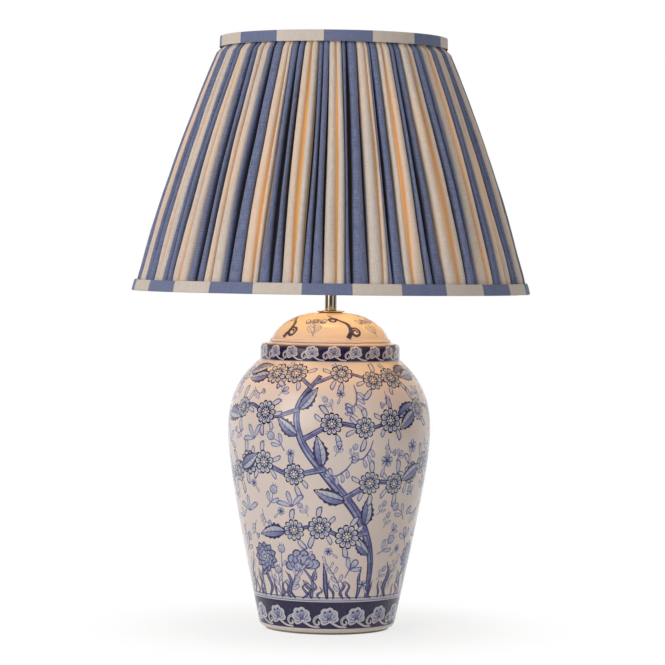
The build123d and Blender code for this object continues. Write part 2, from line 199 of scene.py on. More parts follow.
def add_world():
    """A white backdrop for what sees it, and plain light that is weaker from the front."""
    world = bpy.data.worlds.new("studio")
    bpy.context.scene.world = world
    world.use_nodes = True
    tree = world.node_tree
    way = tree.nodes.new("ShaderNodeTexCoord").outputs["Generated"]
    side, depth, rise = parts_of(tree, way)
    behind = depth.step(0.1, 0.6)
    above = rise.step(0.2, 0.9)
    plain = WORLD_FRONT + behind * (WORLD_BACK - WORLD_FRONT) + above * WORLD_ABOVE
    # A tall soft panel on either side of the camera, between two sideways directions
    panel = side.size().step(0.46, 0.56) * (1 - side.size().step(0.76, 0.88)) * (1 - above)
    panel = panel * (1 - depth.step(-0.3, -0.1))
    to_right = side.step(-0.1, 0.1)
    light = plain + panel * (PANEL_LEFT + to_right * (PANEL_RIGHT - PANEL_LEFT))
    path = tree.nodes.new("ShaderNodeLightPath").outputs
    seen = Sum(tree, path["Is Camera Ray"]).most(path["Is Transmission Ray"])
    seen = seen.most(behind * path["Is Glossy Ray"])
    white = {"Color": (1, 1, 1, 1), "Strength": light * (1 - seen) + seen}
    wire(tree, tree.nodes["Background"], white)


# --- Sums in node trees ---------------------------------------------------------------

def maths(operation):
    """A method of Sum that puts one maths node into the tree."""
    def method(self, *others):
        inputs = dict(enumerate((self, *others)))
        node = node_of(self.tree, "ShaderNodeMath", inputs, operation=operation)
        return Sum(self.tree, node.outputs[0])

    return method


class Sum:
    """A number in a node tree, so that a formula reads as a Python sum."""

    def __init__(self, tree, socket):
        self.tree = tree
        self.socket = socket

    __add__ = __radd__ = maths("ADD")
    __sub__ = maths("SUBTRACT")
    __mul__ = __rmul__ = maths("MULTIPLY")
    __truediv__ = maths("DIVIDE")
    __pow__ = maths("POWER")
    most = maths("MAXIMUM")
    least = maths("MINIMUM")
    whole = maths("FLOOR")
    part = maths("FRACT")
    left_over = maths("FLOORED_MODULO")
    sine = maths("SINE")
    cosine = maths("COSINE")
    size = maths("ABSOLUTE")

    def __rsub__(self, other):
        return self * -1 + other

    def within(self):
        """The number held between 0 and 1."""
        return self.most(0).least(1)

    def step(self, low, high):
        """0 under low, 1 over high, and smooth between them."""
        inputs = {0: self, "From Min": low, "From Max": high}
        node = node_of(self.tree, "ShaderNodeMapRange", inputs, interpolation_type="SMOOTHSTEP")
        return Sum(self.tree, node.outputs[0])


def feed(tree, socket, value):
    """Gives an input socket a number, a colour, a vector or another node's output."""
    if isinstance(value, Sum):
        tree.links.new(value.socket, socket)
    elif isinstance(value, bpy.types.NodeSocket):
        tree.links.new(value, socket)
    else:
        socket.default_value = value


def wire(tree, node, inputs):
    """Feeds some of a node's inputs, each given by its name or number."""
    for key, value in inputs.items():
        feed(tree, node.inputs[key], value)


def node_of(tree, kind, inputs=None, **settings):
    """A new node with its settings made and its inputs fed."""
    node = tree.nodes.new(kind)
    for name, value in settings.items():
        setattr(node, name, value)
    wire(tree, node, inputs or {})
    return node


def vector_of(tree, x, y, z):
    """A vector from three numbers in a node tree."""
    return node_of(tree, "ShaderNodeCombineXYZ", {0: x, 1: y, 2: z}).outputs[0]


def parts_of(tree, vector):
    """The three numbers of a vector in a node tree."""
    node = node_of(tree, "ShaderNodeSeparateXYZ", {0: vector})
    return [Sum(tree, socket) for socket in node.outputs]


def noise_of(tree, vector, scale, detail=2.0, roughness=0.5):
    """A noise between about 0.2 and 0.8 at a vector."""
    inputs = {"Vector": vector, "Scale": scale, "Detail": detail, "Roughness": roughness}
    return Sum(tree, node_of(tree, "ShaderNodeTexNoise", inputs).outputs[0])


def mixed(tree, share, first, second):
    """The mix of two colours by a share."""
    # The node's inputs 6 and 7 and its output 2 are its colours
    inputs = {0: share, 6: first, 7: second}
    return node_of(tree, "ShaderNodeMix", inputs, data_type="RGBA").outputs[2]


def shaded(tree, colour, share):
    """A colour made lighter or darker by a number."""
    inputs = {0: colour, "Scale": share}
    return node_of(tree, "ShaderNodeVectorMath", inputs, operation="SCALE").outputs[0]


def srgb(red, green, blue):
    """A colour as it looks on screen, 0 to 255, as the linear colour that nodes take."""
    def linear(value):
        share = value / 255
        return share / 12.92 if share <= 0.04045 else ((share + 0.055) / 1.055) ** 2.4

    return (linear(red), linear(green), linear(blue), 1.0)


# --- Materials ------------------------------------------------------------------------

def new_material(name, **settings):
    """A material with one Principled shader, its plain settings set on its own sockets."""
    material = bpy.data.materials.new(name)
    material.use_nodes = True
    shader = material.node_tree.nodes["Principled BSDF"]
    for key, value in settings.items():
        shader.inputs[key.replace("_", " ")].default_value = value
    return material, material.node_tree, shader


def object_point(tree):
    """The place on the lamp that is shaded, in metres."""
    return tree.nodes.new("ShaderNodeTexCoord").outputs["Object"]


def kept_number(tree, name):
    """A number that was kept on the piece's mesh."""
    return Sum(tree, node_of(tree, "ShaderNodeAttribute", attribute_name=name).outputs["Fac"])


def bump(tree, shader, height, distance, strength=1.0):
    """Relief from a height field, in metres."""
    inputs = {"Strength": strength, "Distance": distance, "Height": height}
    feed(tree, shader.inputs["Normal"], node_of(tree, "ShaderNodeBump", inputs).outputs[0])


# Ink strengths and the colours they have under the glaze
INK_STEPS = [
    (0.00, srgb(224, 209, 200)),
    (0.14, srgb(210, 203, 201)),
    (0.28, srgb(180, 184, 202)),
    (0.45, srgb(132, 138, 176)),
    (0.62, srgb(94, 94, 150)),
    (0.80, srgb(60, 56, 110)),
    (1.00, srgb(30, 23, 64)),
]


def painted_glaze():
    """Cobalt painting of many strengths under a clear, glossy glaze on a cream body."""
    material, tree, shader = new_material("painted_glaze", IOR=1.46)
    point = object_point(tree)
    wash = noise_of(tree, point, 260, 3.0, 0.6)
    pooled = noise_of(tree, point, 55, 2.0)
    strength = (kept_number(tree, "ink") * (0.62 + wash * 0.5 + pooled * 0.28)).within()
    ramp = node_of(tree, "ShaderNodeValToRGB", {0: strength})
    stops = ramp.color_ramp.elements
    while len(stops) < len(INK_STEPS):
        stops.new(0.5)
    for stop, (place, colour) in zip(stops, INK_STEPS):
        stop.position = place
        stop.color = colour
    body_patches = noise_of(tree, point, 14, 3.0)
    speck = noise_of(tree, point, 30, 2.0)
    wire(tree, shader, {
        "Base Color": shaded(tree, ramp.outputs[0], 0.93 + body_patches * 0.12),
        "Roughness": 0.07 + speck * 0.1,
    })
    waves = noise_of(tree, point, 38, 2.0) * 0.7 + strength * 0.12 + wash * 0.06
    bump(tree, shader, waves, 0.0009, 0.25)
    return material


def woven_colours(tree, along, up, contrast):
    """Colour, weave height and stripe mask of the cloth at metres along and up it."""
    stripes = along / (2 * STRIPE * MM)
    blue = 1 - (stripes.part() - 0.5).step(-0.003, 0.003)
    warp = noise_of(tree, vector_of(tree, along * 2600, up * 90, 0.0), 1.0, 1.0)
    weft = noise_of(tree, vector_of(tree, along * 90, up * 2600, 7.0), 1.0, 1.0)
    slub = noise_of(tree, vector_of(tree, along * 500, up * 30, 3.0), 1.0, 2.0)
    threads = warp + weft
    fade = noise_of(tree, vector_of(tree, along, up, 0.0), 9.0, 2.0)
    share = ((threads - 1.0) * contrast + 0.5).within()
    blue_cloth = mixed(tree, share, srgb(80, 88, 120), srgb(134, 142, 175))
    cream_cloth = mixed(tree, share, srgb(199, 184, 170), srgb(229, 216, 204))
    colour = mixed(tree, blue, cream_cloth, blue_cloth)
    return shaded(tree, colour, 0.86 + slub * 0.14 + fade * 0.14), threads, blue


def cloth_coordinates(tree):
    """Metres along and up the flat cloth."""
    along, up, _ = parts_of(tree, node_of(tree, "ShaderNodeUVMap", uv_map="cloth").outputs[0])
    return along, up


CLOTH_FINISH = {"Roughness": 0.85, "Sheen_Weight": 0.12, "Sheen_Roughness": 0.5}


def striped_cloth():
    """Woven blue and cream stripes, with painted glow where the lit bulb's light would come through
    and painted shade in the hollows.
    """
    material, tree, shader = new_material("striped_cloth", **CLOTH_FINISH)
    along, up = cloth_coordinates(tree)
    hollow = kept_number(tree, "hollow")
    colour, threads, blue = woven_colours(tree, along, up, 1.8)
    # Painted glow: the bulb's light through the cloth is painted on as a peach tint and as
    # emission, strongest at the bulb's height
    painted_glow_height = 1 - ((up - PAINTED_GLOW_HEIGHT) / PAINTED_GLOW_SPREAD).size().within() ** 2
    patches = noise_of(tree, vector_of(tree, along * 26, up * 6, 0.0), 1.0, 1.0)
    painted_glow_patches = patches.step(0.42, 0.66) * painted_glow_height * (1 - blue)
    colour = mixed(tree, painted_glow_patches * 0.5, colour, srgb(238, 199, 163))
    # Painted shade in the hollows: near black in the blue stripes, and in the cream ones an orange
    # that stands for the bulb's light through the cloth
    painted_hollow_shade = (hollow - blue * 0.12).step(0.05, 0.72)
    in_shade = mixed(tree, blue, srgb(172, 120, 64), srgb(26, 28, 47))
    # Painted glow in the hollows, where single layers of cloth glow orange
    single = hollow ** 1.3
    painted_glow_strength = painted_glow_patches * 0.06 + single * (0.16 + patches * 0.42) + 0.02
    # Emission paints the bulb's light through the cloth as a glow of the cloth itself
    wire(tree, shader, {
        "Base Color": mixed(tree, painted_hollow_shade * (0.7 + blue * 0.26), colour, in_shade),
        "Emission Color": mixed(tree, single, srgb(255, 198, 146), srgb(255, 198, 112)),
        "Emission Strength": painted_glow_height * painted_glow_strength * (1 - blue * 0.985),
    })
    bump(tree, shader, threads, 0.0002, 0.5)
    return material


def binding_cloth():
    """The same cloth cut into the folded bands, with nothing shining through."""
    material, tree, shader = new_material("binding_cloth", **CLOTH_FINISH)
    colour, threads, _ = woven_colours(tree, *cloth_coordinates(tree), 0.8)
    wire(tree, shader, {"Base Color": colour})
    bump(tree, shader, threads, 0.0002, 0.35)
    return material


def plain_weave(name, dark, pale, thread):
    """A plain woven or felted cloth on object coordinates."""
    material, tree, shader = new_material(name, Roughness=0.9, Sheen_Weight=0.2)
    fine = noise_of(tree, object_point(tree), thread, 3.0, 0.7)
    broad = noise_of(tree, object_point(tree), thread / 30, 2.0)
    share = (fine * 1.2 + broad * 0.4 - 0.35).within()
    wire(tree, shader, {"Base Color": mixed(tree, share, dark, pale)})
    bump(tree, shader, fine, 0.0004, 0.6)
    return material


def brushed_metal(name, dark, pale, roughness, stretch=(1, 1, 18)):
    """Metal with fine marks drawn along one way."""
    material, tree, shader = new_material(name, Metallic=1.0)
    point = object_point(tree)
    mapping = node_of(tree, "ShaderNodeMapping", {"Vector": point, "Scale": stretch})
    lines = noise_of(tree, mapping.outputs[0], 160, 4.0, 0.7)
    tarnish = noise_of(tree, point, 40, 3.0)
    share = (lines * 0.6 + tarnish * 0.6 - 0.1).within()
    wire(tree, shader, {
        "Base Color": mixed(tree, share, dark, pale),
        "Roughness": roughness + tarnish * 0.08,
    })
    bump(tree, shader, lines, 0.00002, 0.15)
    return material


def moulded(name, dark, pale, roughness):
    """Moulded plastic, rubber or ceramic with a faint uneven skin."""
    material, tree, shader = new_material(name)
    point = object_point(tree)
    skin = noise_of(tree, point, 700, 2.0)
    cloud = noise_of(tree, point, 35, 2.0)
    wire(tree, shader, {
        "Base Color": mixed(tree, cloud, dark, pale),
        "Roughness": roughness + skin * 0.12,
    })
    bump(tree, shader, skin, 0.00006, 0.4)
    return material


def lit_opal():
    """An opal bulb that is switched on, a little dimmer at its neck."""
    material, tree, shader = new_material("lit_opal", Roughness=0.3)
    shader.inputs["Base Color"].default_value = srgb(250, 240, 225)
    _, _, rise = parts_of(tree, object_point(tree))
    low, high = heights("bulb_globe")
    share = (rise / MM - low) / (high - low)
    grain = noise_of(tree, object_point(tree), 120, 2.0)
    wire(tree, shader, {
        "Emission Color": srgb(255, 206, 132),
        "Emission Strength": (share.step(0.0, 0.5) * 0.45 + 0.5 + grain * 0.1) * BULB_LIGHT,
    })
    return material


MATERIALS = {}


def make_materials():
    """Fills MATERIALS with one material for each slot."""
    steel = (srgb(150, 150, 152), srgb(214, 214, 216))
    nickel = (srgb(138, 122, 102), srgb(214, 200, 180))
    brass = (srgb(150, 110, 50), srgb(226, 186, 104))
    cream_plastic = (srgb(222, 218, 208), srgb(238, 234, 226))
    MATERIALS.update(
        painted_glaze=painted_glaze(),
        striped_cloth=striped_cloth(),
        binding_cloth=binding_cloth(),
        lining_cloth=plain_weave("lining_cloth", srgb(226, 214, 192), srgb(246, 238, 222), 900),
        felt=plain_weave("felt", srgb(120, 112, 100), srgb(176, 168, 152), 500),
        satin_nickel=brushed_metal("satin_nickel", *nickel, 0.05),
        zinc_steel=brushed_metal("zinc_steel", *steel, 0.3),
        contact_brass=brushed_metal("contact_brass", *brass, 0.25),
        bulb_cap_metal=brushed_metal("bulb_cap_metal", *steel, 0.25, (1, 1, 1)),
        white_wire=moulded("white_wire", srgb(214, 210, 202), srgb(236, 232, 226), 0.4),
        holder_plastic=moulded("holder_plastic", *cream_plastic, 0.35),
        holder_ceramic=moulded("holder_ceramic", srgb(214, 208, 196), srgb(232, 227, 217), 0.55),
        bulb_collar_plastic=moulded("bulb_collar", srgb(226, 224, 218), srgb(244, 242, 238), 0.3),
        black_rubber=moulded("black_rubber", srgb(26, 26, 27), srgb(44, 43, 44), 0.6),
        bulb_black_glass=moulded("bulb_black_glass", srgb(12, 12, 14), srgb(26, 26, 28), 0.12),
        opal_glass=lit_opal(),
    )


# --- Turned shapes --------------------------------------------------------------------

def bezier(points, steps):
    """Points along a Bezier curve of any order."""
    line = []
    for step in range(steps + 1):
        row = [Vector(point) for point in points]
        while len(row) > 1:
            row = [a.lerp(b, step / steps) for a, b in zip(row, row[1:])]
        line.append(row[0])
    return line


def softened(outline, radius, steps=3):
    """A closed outline with its corners rounded."""
    points = [Vector(point) for point in outline]
    line = []
    for index, corner in enumerate(points):
        before, after = points[index - 1], points[(index + 1) % len(points)]
        if corner.x < 1e-6:
            line.append(corner)
            continue
        reach = min(radius, 0.45 * (before - corner).length, 0.45 * (after - corner).length)
        start = corner + (before - corner).normalized() * reach
        end = corner + (after - corner).normalized() * reach
        line += bezier([start, corner, end], steps)
    return line


def link_mesh(name, mesh, material):
    """An object for a finished mesh, at the origin."""
    piece = bpy.data.objects.new(name, mesh)
    bpy.context.scene.collection.objects.link(piece)
    mesh.materials.clear()
    mesh.materials.append(material)
    return piece


def turned(radius, height, angle):
    """A point or direction at an angle round the axis, in radians from the front."""
    return (radius * math.sin(angle), -radius * math.cos(angle), height)


def lathe(name, outline, material, segments=96):
    """A closed turned piece from an outline of (radius, height)."""
    shape = bmesh.new()
    angles = [2 * math.pi * turn / segments for turn in range(segments)]
    rings = [
        [shape.verts.new(turned(radius * MM, height * MM, angle)) for angle in angles]
        for radius, height in outline
    ]
    for low, high in zip(rings, rings[1:] + rings[:1]):
        for turn in range(segments):
            after = (turn + 1) % segments
            shape.faces.new((low[turn], low[after], high[after], high[turn]))
    bmesh.ops.remove_doubles(shape, verts=shape.verts, dist=MERGE)
    flat = [face for face in shape.faces if face.calc_area() < NO_AREA]
    bmesh.ops.delete(shape, geom=flat, context="FACES_ONLY")
    bmesh.ops.recalc_face_normals(shape, faces=shape.faces)
    mesh = bpy.data.meshes.new(name)
    shape.to_mesh(mesh)
    shape.free()
    mesh.shade_smooth()
    mesh.set_sharp_from_angle(angle=math.radians(40))
    return link_mesh(name, mesh, material)


# --- Painted pots ---------------------------------------------------------------------

class Pot:
    """A turned pot whose outside is painted.

    The outside is unrolled into a sheet: x is millimetres round the widest girth from the
    front, and y is millimetres up along the side. Every painted shape is cut into the
    sheet's own triangles, so the painting is part of the pot's skin.
    """

    def __init__(self, outside, inside, seam, columns):
        self.outside = [Vector(point) for point in outside]
        self.inside = [Vector(point) for point in inside]
        self.columns = columns
        self.girth = max(point.x for point in self.outside)
        self.left = math.radians(seam) * self.girth
        self.width = 2 * math.pi * self.girth
        self.lengths = [0.0]
        for before, after in zip(self.outside, self.outside[1:]):
            self.lengths.append(self.lengths[-1] + (after - before).length)
        self.shapes = []
        self.taken = []

    def side(self, along):
        """Radius and height of the side at a distance along it."""
        index = bisect.bisect_right(self.lengths, along) - 1
        index = min(max(index, 0), len(self.lengths) - 2)
        low, high = self.lengths[index], self.lengths[index + 1]
        share = (along - low) / (high - low)
        point = self.outside[index].lerp(self.outside[index + 1], share)
        return point.x, point.y

    def slope(self, along):
        """Outward normal of the side as (radius, height)."""
        r_low, z_low = self.side(max(along - 0.6, 0.0))
        r_high, z_high = self.side(min(along + 0.6, self.lengths[-1]))
        return Vector((z_high - z_low, r_low - r_high)).normalized()

    def spot(self, degrees, along, turn=0.0, size=1.0):
        """A place to draw from, at degrees from the front and millimetres up the side."""
        return Spot(self, degrees, along, turn, size)

    def paint(self, points, ink):
        """Adds one painted shape; ink is its strength, or a pair from its first point on."""
        low, high = PAINT_MARGIN, self.lengths[-1] - PAINT_MARGIN
        if any(not low < y < high for _, y in points):
            return
        tones = ink if isinstance(ink, tuple) else (ink, ink)
        left, right = min(x for x, _ in points), max(x for x, _ in points)
        home = -self.width * math.floor(((left + right) / 2 - self.left) / self.width)
        shifts = [home]
        # A shape across the sheet's end goes on at its other end
        if left + home < self.left:
            shifts.append(home + self.width)
        if right + home > self.left + self.width:
            shifts.append(home - self.width)
        for shift in shifts:
            shape = [(x + shift, y) for x, y in points]
            self.shapes.append((shape, tones, (shape[0], shape[len(shape) // 2])))

    def room(self, degrees, along, radius):
        """Whether a round patch is still bare."""
        x = math.radians(degrees)
        for other, height, reach in self.taken:
            across = (other - x + math.pi) % (2 * math.pi) - math.pi
            gap = math.hypot(across * self.side(along)[0], height - along)
            if gap < reach + radius:
                return False
        return True

    def take(self, degrees, along, radius):
        """Keeps a round patch free of fillers."""
        self.taken.append((math.radians(degrees), along, radius))

    def place(self, x, y):
        """Where a point of the sheet lies on the pot, in metres."""
        radius, height = self.side(y)
        return turned(radius * MM, height * MM, x / self.girth)

    def at_height(self, height):
        """Distance along the side at which it reaches a height."""
        for index, (low, high) in enumerate(zip(self.outside, self.outside[1:])):
            if low.y <= height < high.y:
                share = (height - low.y) / (high.y - low.y)
                return self.lengths[index] + share * (high - low).length
        return self.lengths[-1]

    def painted_edges(self):
        """Every shape's outline, as points and the edges between them."""
        points, edges = [], []
        for shape, _, _ in self.shapes:
            first = len(points)
            points += shape
            edges += [(first + step, first + step + 1) for step in range(len(shape) - 1)]
            edges.append((len(points) - 1, first))
        return points, edges

    def visible_edges(self, flat, triangles, top):
        """The edges at which the ink changes, with short straight runs joined."""
        longest, straightest = 3.0, 0.012
        # Shaded shapes go by their number, even ones by their tone below that of bare glaze
        bare = -2.0
        inks = [
            number if tones[0] != tones[1] else bare - tones[0]
            for number, (_, tones, _) in enumerate(self.shapes)
        ]
        inks.append(bare)
        sides = {}
        for corners, number in zip(triangles.tolist(), top.tolist()):
            for start, end in zip(corners, corners[1:] + corners[:1]):
                sides.setdefault((min(start, end), max(start, end)), set()).add(inks[number])
        links = {}
        for (start, end), found in sides.items():
            if len(found) == 2:
                links.setdefault(start, set()).add(end)
                links.setdefault(end, set()).add(start)
        for point in list(links):
            if len(links[point]) != 2:
                continue
            before, after = links[point]
            way_in, way_out = flat[point] - flat[before], flat[after] - flat[point]
            far = math.hypot(*(way_in + way_out))
            off = abs(way_in[0] * way_out[1] - way_in[1] * way_out[0]) / max(far, 1e-9)
            if far < longest and off < straightest and after not in links[before]:
                del links[point]
                for near, other in ((before, after), (after, before)):
                    links[near].remove(point)
                    links[near].add(other)
        kept = {point: number for number, point in enumerate(links)}
        edges = [
            (kept[start], kept[end]) for start in links for end in links[start] if start < end
        ]
        return [tuple(flat[point]) for point in kept], edges

    def cut_sheet(self, outlines):
        """The sheet's points and triangles, cut along the given outlines."""
        grid_x = [self.left + self.width * step / self.columns for step in range(self.columns + 1)]
        points = [Vector((x, y)) for y in self.lengths for x in grid_x]
        first = len(points)
        points += [Vector(point) for point in outlines[0]]
        edges = [(first + start, first + end) for start, end in outlines[1]]
        across, last = self.columns + 1, (self.columns + 1) * len(self.lengths)
        corners = (0, across - 1, last - 1, last - across, 0)
        edges += list(zip(corners, corners[1:]))
        flat, _, triangles, _, _, _ = delaunay_2d_cdt(points, edges, [], 0, 1e-4, False)
        flat = numpy.array([tuple(point) for point in flat])
        triangles = numpy.array(triangles)
        centres = flat[triangles].mean(axis=1)
        inside = (centres[:, 0] > self.left) & (centres[:, 0] < self.left + self.width)
        return flat, triangles[inside], centres[inside]

    def topmost(self, centres):
        """Number of the last shape painted over each centre, or -1 on bare glaze."""
        order = numpy.argsort(centres[:, 0])
        xs, ys = centres[order].T
        top = numpy.full(len(centres), -1)
        for number, (shape, _, _) in enumerate(self.shapes):
            outline = numpy.array(shape)
            low, high = outline.min(axis=0), outline.max(axis=0)
            first, last = numpy.searchsorted(xs, (low[0], high[0]))
            near = first + numpy.nonzero((ys[first:last] > low[1]) & (ys[first:last] < high[1]))[0]
            within = numpy.zeros(len(near), dtype=bool)
            for (x0, y0), (x1, y1) in zip(outline, numpy.roll(outline, -1, axis=0)):
                if y0 != y1:
                    crossed = (y0 > ys[near]) != (y1 > ys[near])
                    within ^= crossed & (xs[near] < x0 + (x1 - x0) * (ys[near] - y0) / (y1 - y0))
            top[order[near[within]]] = number
        return top

    def build(self, name, material):
        """The pot as one closed mesh, with the painting in its skin."""
        flat, triangles, centres = self.cut_sheet(self.painted_edges())
        seen = self.visible_edges(flat, triangles, self.topmost(centres))
        flat, triangles, centres = self.cut_sheet(seen)
        top = self.topmost(centres)
        right = self.left + self.width
        at_seam = sorted(
            (y, index) for index, (x, y) in enumerate(flat) if abs(x - self.left) < EDGE_GAP
        )
        home = {}
        for index in set(triangles.ravel().tolist()):
            x, y = flat[index]
            home[index] = index
            if abs(x - right) < EDGE_GAP:
                near = bisect.bisect_left(at_seam, (y - 5 * EDGE_GAP, -1))
                home[index] = at_seam[min(near, len(at_seam) - 1)][1]
        numbers = {index: number for number, index in enumerate(sorted(set(home.values())))}
        places, normals, ring_low, ring_high = [], [], {}, {}
        for index in numbers:
            x, y = flat[index]
            lean = self.slope(y)
            places.append(self.place(x, y))
            normals.append(turned(lean.x, lean.y, x / self.girth))
            column = round((x - self.left) / self.width * self.columns) % self.columns
            if y < EDGE_GAP:
                ring_low[column] = numbers[index]
            if y > self.lengths[-1] - EDGE_GAP:
                ring_high[column] = numbers[index]
        polygons, corner_ink, corner_normal = [], [], []
        for corners, shape in zip(triangles.tolist(), top.tolist()):
            own = [numbers[home[corner]] for corner in corners]
            if len(set(own)) == 3:
                polygons.append(own)
                corner_ink += [self.ink_at(shape, flat[corner]) for corner in corners]
                corner_normal += [normals[number] for number in own]
        self.close(places, polygons, corner_ink, corner_normal, ring_low, ring_high)
        mesh = bpy.data.meshes.new(name)
        mesh.from_pydata(places, [], polygons)
        ink = mesh.attributes.new("ink", "FLOAT", "CORNER")
        ink.data.foreach_set("value", corner_ink)
        mesh.shade_smooth()
        mesh.normals_split_custom_set(corner_normal)
        return link_mesh(name, mesh, material)

    def ink_at(self, shape, point):
        """Ink strength of a painted shape at a point of the sheet."""
        if shape < 0:
            return 0.0
        _, (first, second), (start, end) = self.shapes[shape]
        if first == second:
            return first
        way_x, way_y = end[0] - start[0], end[1] - start[1]
        share = (point[0] - start[0]) * way_x + (point[1] - start[1]) * way_y
        share /= max(way_x * way_x + way_y * way_y, 1e-9)
        return first + (second - first) * min(max(share, 0.0), 1.0)

    def close(self, places, polygons, corner_ink, corner_normal, ring_low, ring_high):
        """Adds the pot's unpainted inside between its upper and lower edge."""
        def angle(column):
            return (self.left + self.width * column / self.columns) / self.girth

        rings = [[ring_high[column] for column in range(self.columns)]]
        for point in self.inside:
            first = len(places)
            rings.append(list(range(first, first + self.columns)))
            places += [
                turned(point.x * MM, point.y * MM, angle(column))
                for column in range(self.columns)
            ]
        rings.append([ring_low[column] for column in range(self.columns)])
        outline = [self.outside[-1], *self.inside, self.outside[0]]
        for number, (low, high) in enumerate(zip(rings, rings[1:])):
            way = (outline[number + 1] - outline[number]).normalized()
            for column in range(self.columns):
                after = (column + 1) % self.columns
                polygons.append([low[column], low[after], high[after], high[column]])
                for turn in (column, column + 1, column + 1, column):
                    corner_normal.append(turned(way.y, -way.x, angle(turn)))
                    corner_ink.append(0.0)


class Spot:
    """A place on a pot, from which shapes are drawn in millimetres, turned and sized."""

    def __init__(self, pot, degrees, along, turn, size):
        self.pot, self.degrees, self.along = pot, degrees, along
        self.turn, self.size = turn, size

    def point(self, x, y):
        """Where a point drawn from here lies on the pot's sheet."""
        angle = math.radians(self.turn)
        right = (x * math.cos(angle) + y * math.sin(angle)) * self.size
        up = (y * math.cos(angle) - x * math.sin(angle)) * self.size
        radius = max(self.pot.side(self.along + up)[0], NARROWEST)
        return ((math.radians(self.degrees) + right / radius) * self.pot.girth, self.along + up)

    def area(self, points, ink):
        """A painted shape with the given outline."""
        self.pot.paint([self.point(x, y) for x, y in points], ink)

    def stroke(self, line, widths, ink):
        """A brush line through points, as wide as widths says from start to end."""
        line = [Vector(point) for point in line]
        edges = []
        for index, point in enumerate(line):
            way = (line[min(index + 1, len(line) - 1)] - line[max(index - 1, 0)]).normalized()
            width = level(widths, index / (len(line) - 1))
            side = Vector((-way.y, way.x)) * width / 2
            edges.append((point + side, point - side))
        first, last = ink if isinstance(ink, tuple) else (ink, ink)
        for index, (before, after) in enumerate(zip(edges, edges[1:])):
            share = index / max(len(edges) - 2, 1)
            tone = first + (last - first) * share
            self.area([before[0], after[0], after[1], before[1]], tone)

    def from_here(self, x, y, turn=0.0, size=1.0):
        """Another spot at a point drawn from this one."""
        place_x, along = self.point(x, y)
        degrees = math.degrees(place_x / self.pot.girth)
        return Spot(self.pot, degrees, along, self.turn + turn, self.size * size)

    def fan(self, turns):
        """Spots at this place, each turned by one of some angles in degrees."""
        return [self.from_here(0, 0, turn) for turn in turns]

    def claim(self, x, y, radius):
        """Keeps a round patch at a point drawn from here free of fillers."""
        middle = self.from_here(x, y)
        self.pot.take(middle.degrees, middle.along, radius)


def curve_through(points, steps=6):
    """A smooth line through points (Catmull-Rom)."""
    points = [Vector(point) for point in points]
    padded = [points[0] * 2 - points[1], *points, points[-1] * 2 - points[-2]]
    line = []
    for a, b, c, d in zip(padded, padded[1:], padded[2:], padded[3:]):
        for step in range(steps):
            t = step / steps
            curved = b * 2 + (c - a) * t + (a * 2 - b * 5 + c * 4 - d) * t * t
            line.append((curved + (b * 3 - a - c * 3 + d) * t ** 3) / 2)
    line.append(points[-1])
    return line


def level(values, share):
    """A value part of the way through a row of values."""
    place = share * (len(values) - 1)
    low = min(int(place), len(values) - 2)
    return values[low] + (values[low + 1] - values[low]) * (place - low)


# Motifs. Each is drawn upwards from its spot.

def disc(radius, x=0.0, y=0.0, count=12):
    """A round outline."""
    turns = [2 * math.pi * turn / count for turn in range(count)]
    return [(x + radius * math.sin(angle), y + radius * math.cos(angle)) for angle in turns]


def scalloped(radius, lobes, depth):
    """A round outline with a bulge for each petal."""
    outline = []
    for turn in range(lobes * 5):
        angle = 2 * math.pi * turn / (lobes * 5)
        reach = radius * (1 - depth * (1 - abs(math.sin(angle * lobes / 2))) ** 1.6)
        outline.append((reach * math.sin(angle), reach * math.cos(angle)))
    return outline


def petal_outline(length, width, start=0.0, count=11):
    """A petal that widens to a rounded tip."""
    outline = []
    for turn in range(count):
        angle = 2 * math.pi * (turn + 0.5) / count
        rise = (1 - math.cos(angle)) / 2
        swell = 0.375 + 0.875 * rise ** 0.8
        outline.append((width / 2 * math.sin(angle) * swell, start + length * rise))
    return outline


def blossom(spot, radius, rng, petals=10):
    """A round blossom: pale petals with dark edges, a ticked ring and a pale eye."""
    step = 360 / petals
    wide = 2 * math.pi * radius * 0.8 / petals
    whole = spot.from_here(0, 0, rng.uniform(0, step))
    whole.area(scalloped(radius, petals, 0.2), 1.0)
    for part in whole.fan([step * (number + 0.5) for number in range(petals)]):
        heart = petal_outline(radius * rng.uniform(0.46, 0.52), wide * 0.78, radius * 0.38)
        part.area(heart, (rng.uniform(0.3, 0.5), 0.12))
        part.stroke([(0, radius * 0.44), (0, radius * 0.76)], (1.1, 0.3), 0.86)
    whole.area(scalloped(radius * 0.4, 8, 0.25), 1.0)
    for part in whole.fan([45 * number + 22 for number in range(8)]):
        part.area(petal_outline(radius * 0.2, radius * 0.17, radius * 0.16), 0.16)
    whole.area(disc(radius * 0.14, count=8), 0.05)
    spot.pot.take(spot.degrees, spot.along, radius * spot.size)


def rosette(spot, radius, rng):
    """A large open flower of three rows of pointed, shaded petals."""
    for reach, count, shift in ((1.0, 11, 0), (0.74, 9, 14), (0.48, 7, 31)):
        wide = 2 * math.pi * radius * reach / count
        for part in spot.fan([360 / count * number + shift for number in range(count)]):
            length = radius * reach * rng.uniform(0.94, 1.04)
            part.area(pointed(length, wide * 1.05), 0.82)
            part.area(pointed(length * 0.88, wide * 0.78), (0.2, 0.42))
            part.stroke([(0, length * 0.45), (0, length * 0.8)], (0.9, 0.3), 0.62)
    spot.area(disc(radius * 0.17), 0.9)
    spot.area(disc(radius * 0.1, count=8), 0.12)
    spot.pot.take(spot.degrees, spot.along, radius * 0.95)


def pointed(length, width, steps=5):
    """A petal or leaf that is widest past its middle and ends in a point."""
    rise = [index / steps for index in range(steps + 1)]
    right = [(width / 2 * math.sin(math.pi * share ** 1.25), length * share) for share in rise]
    return right + [(-x, y) for x, y in right[-2:0:-1]]


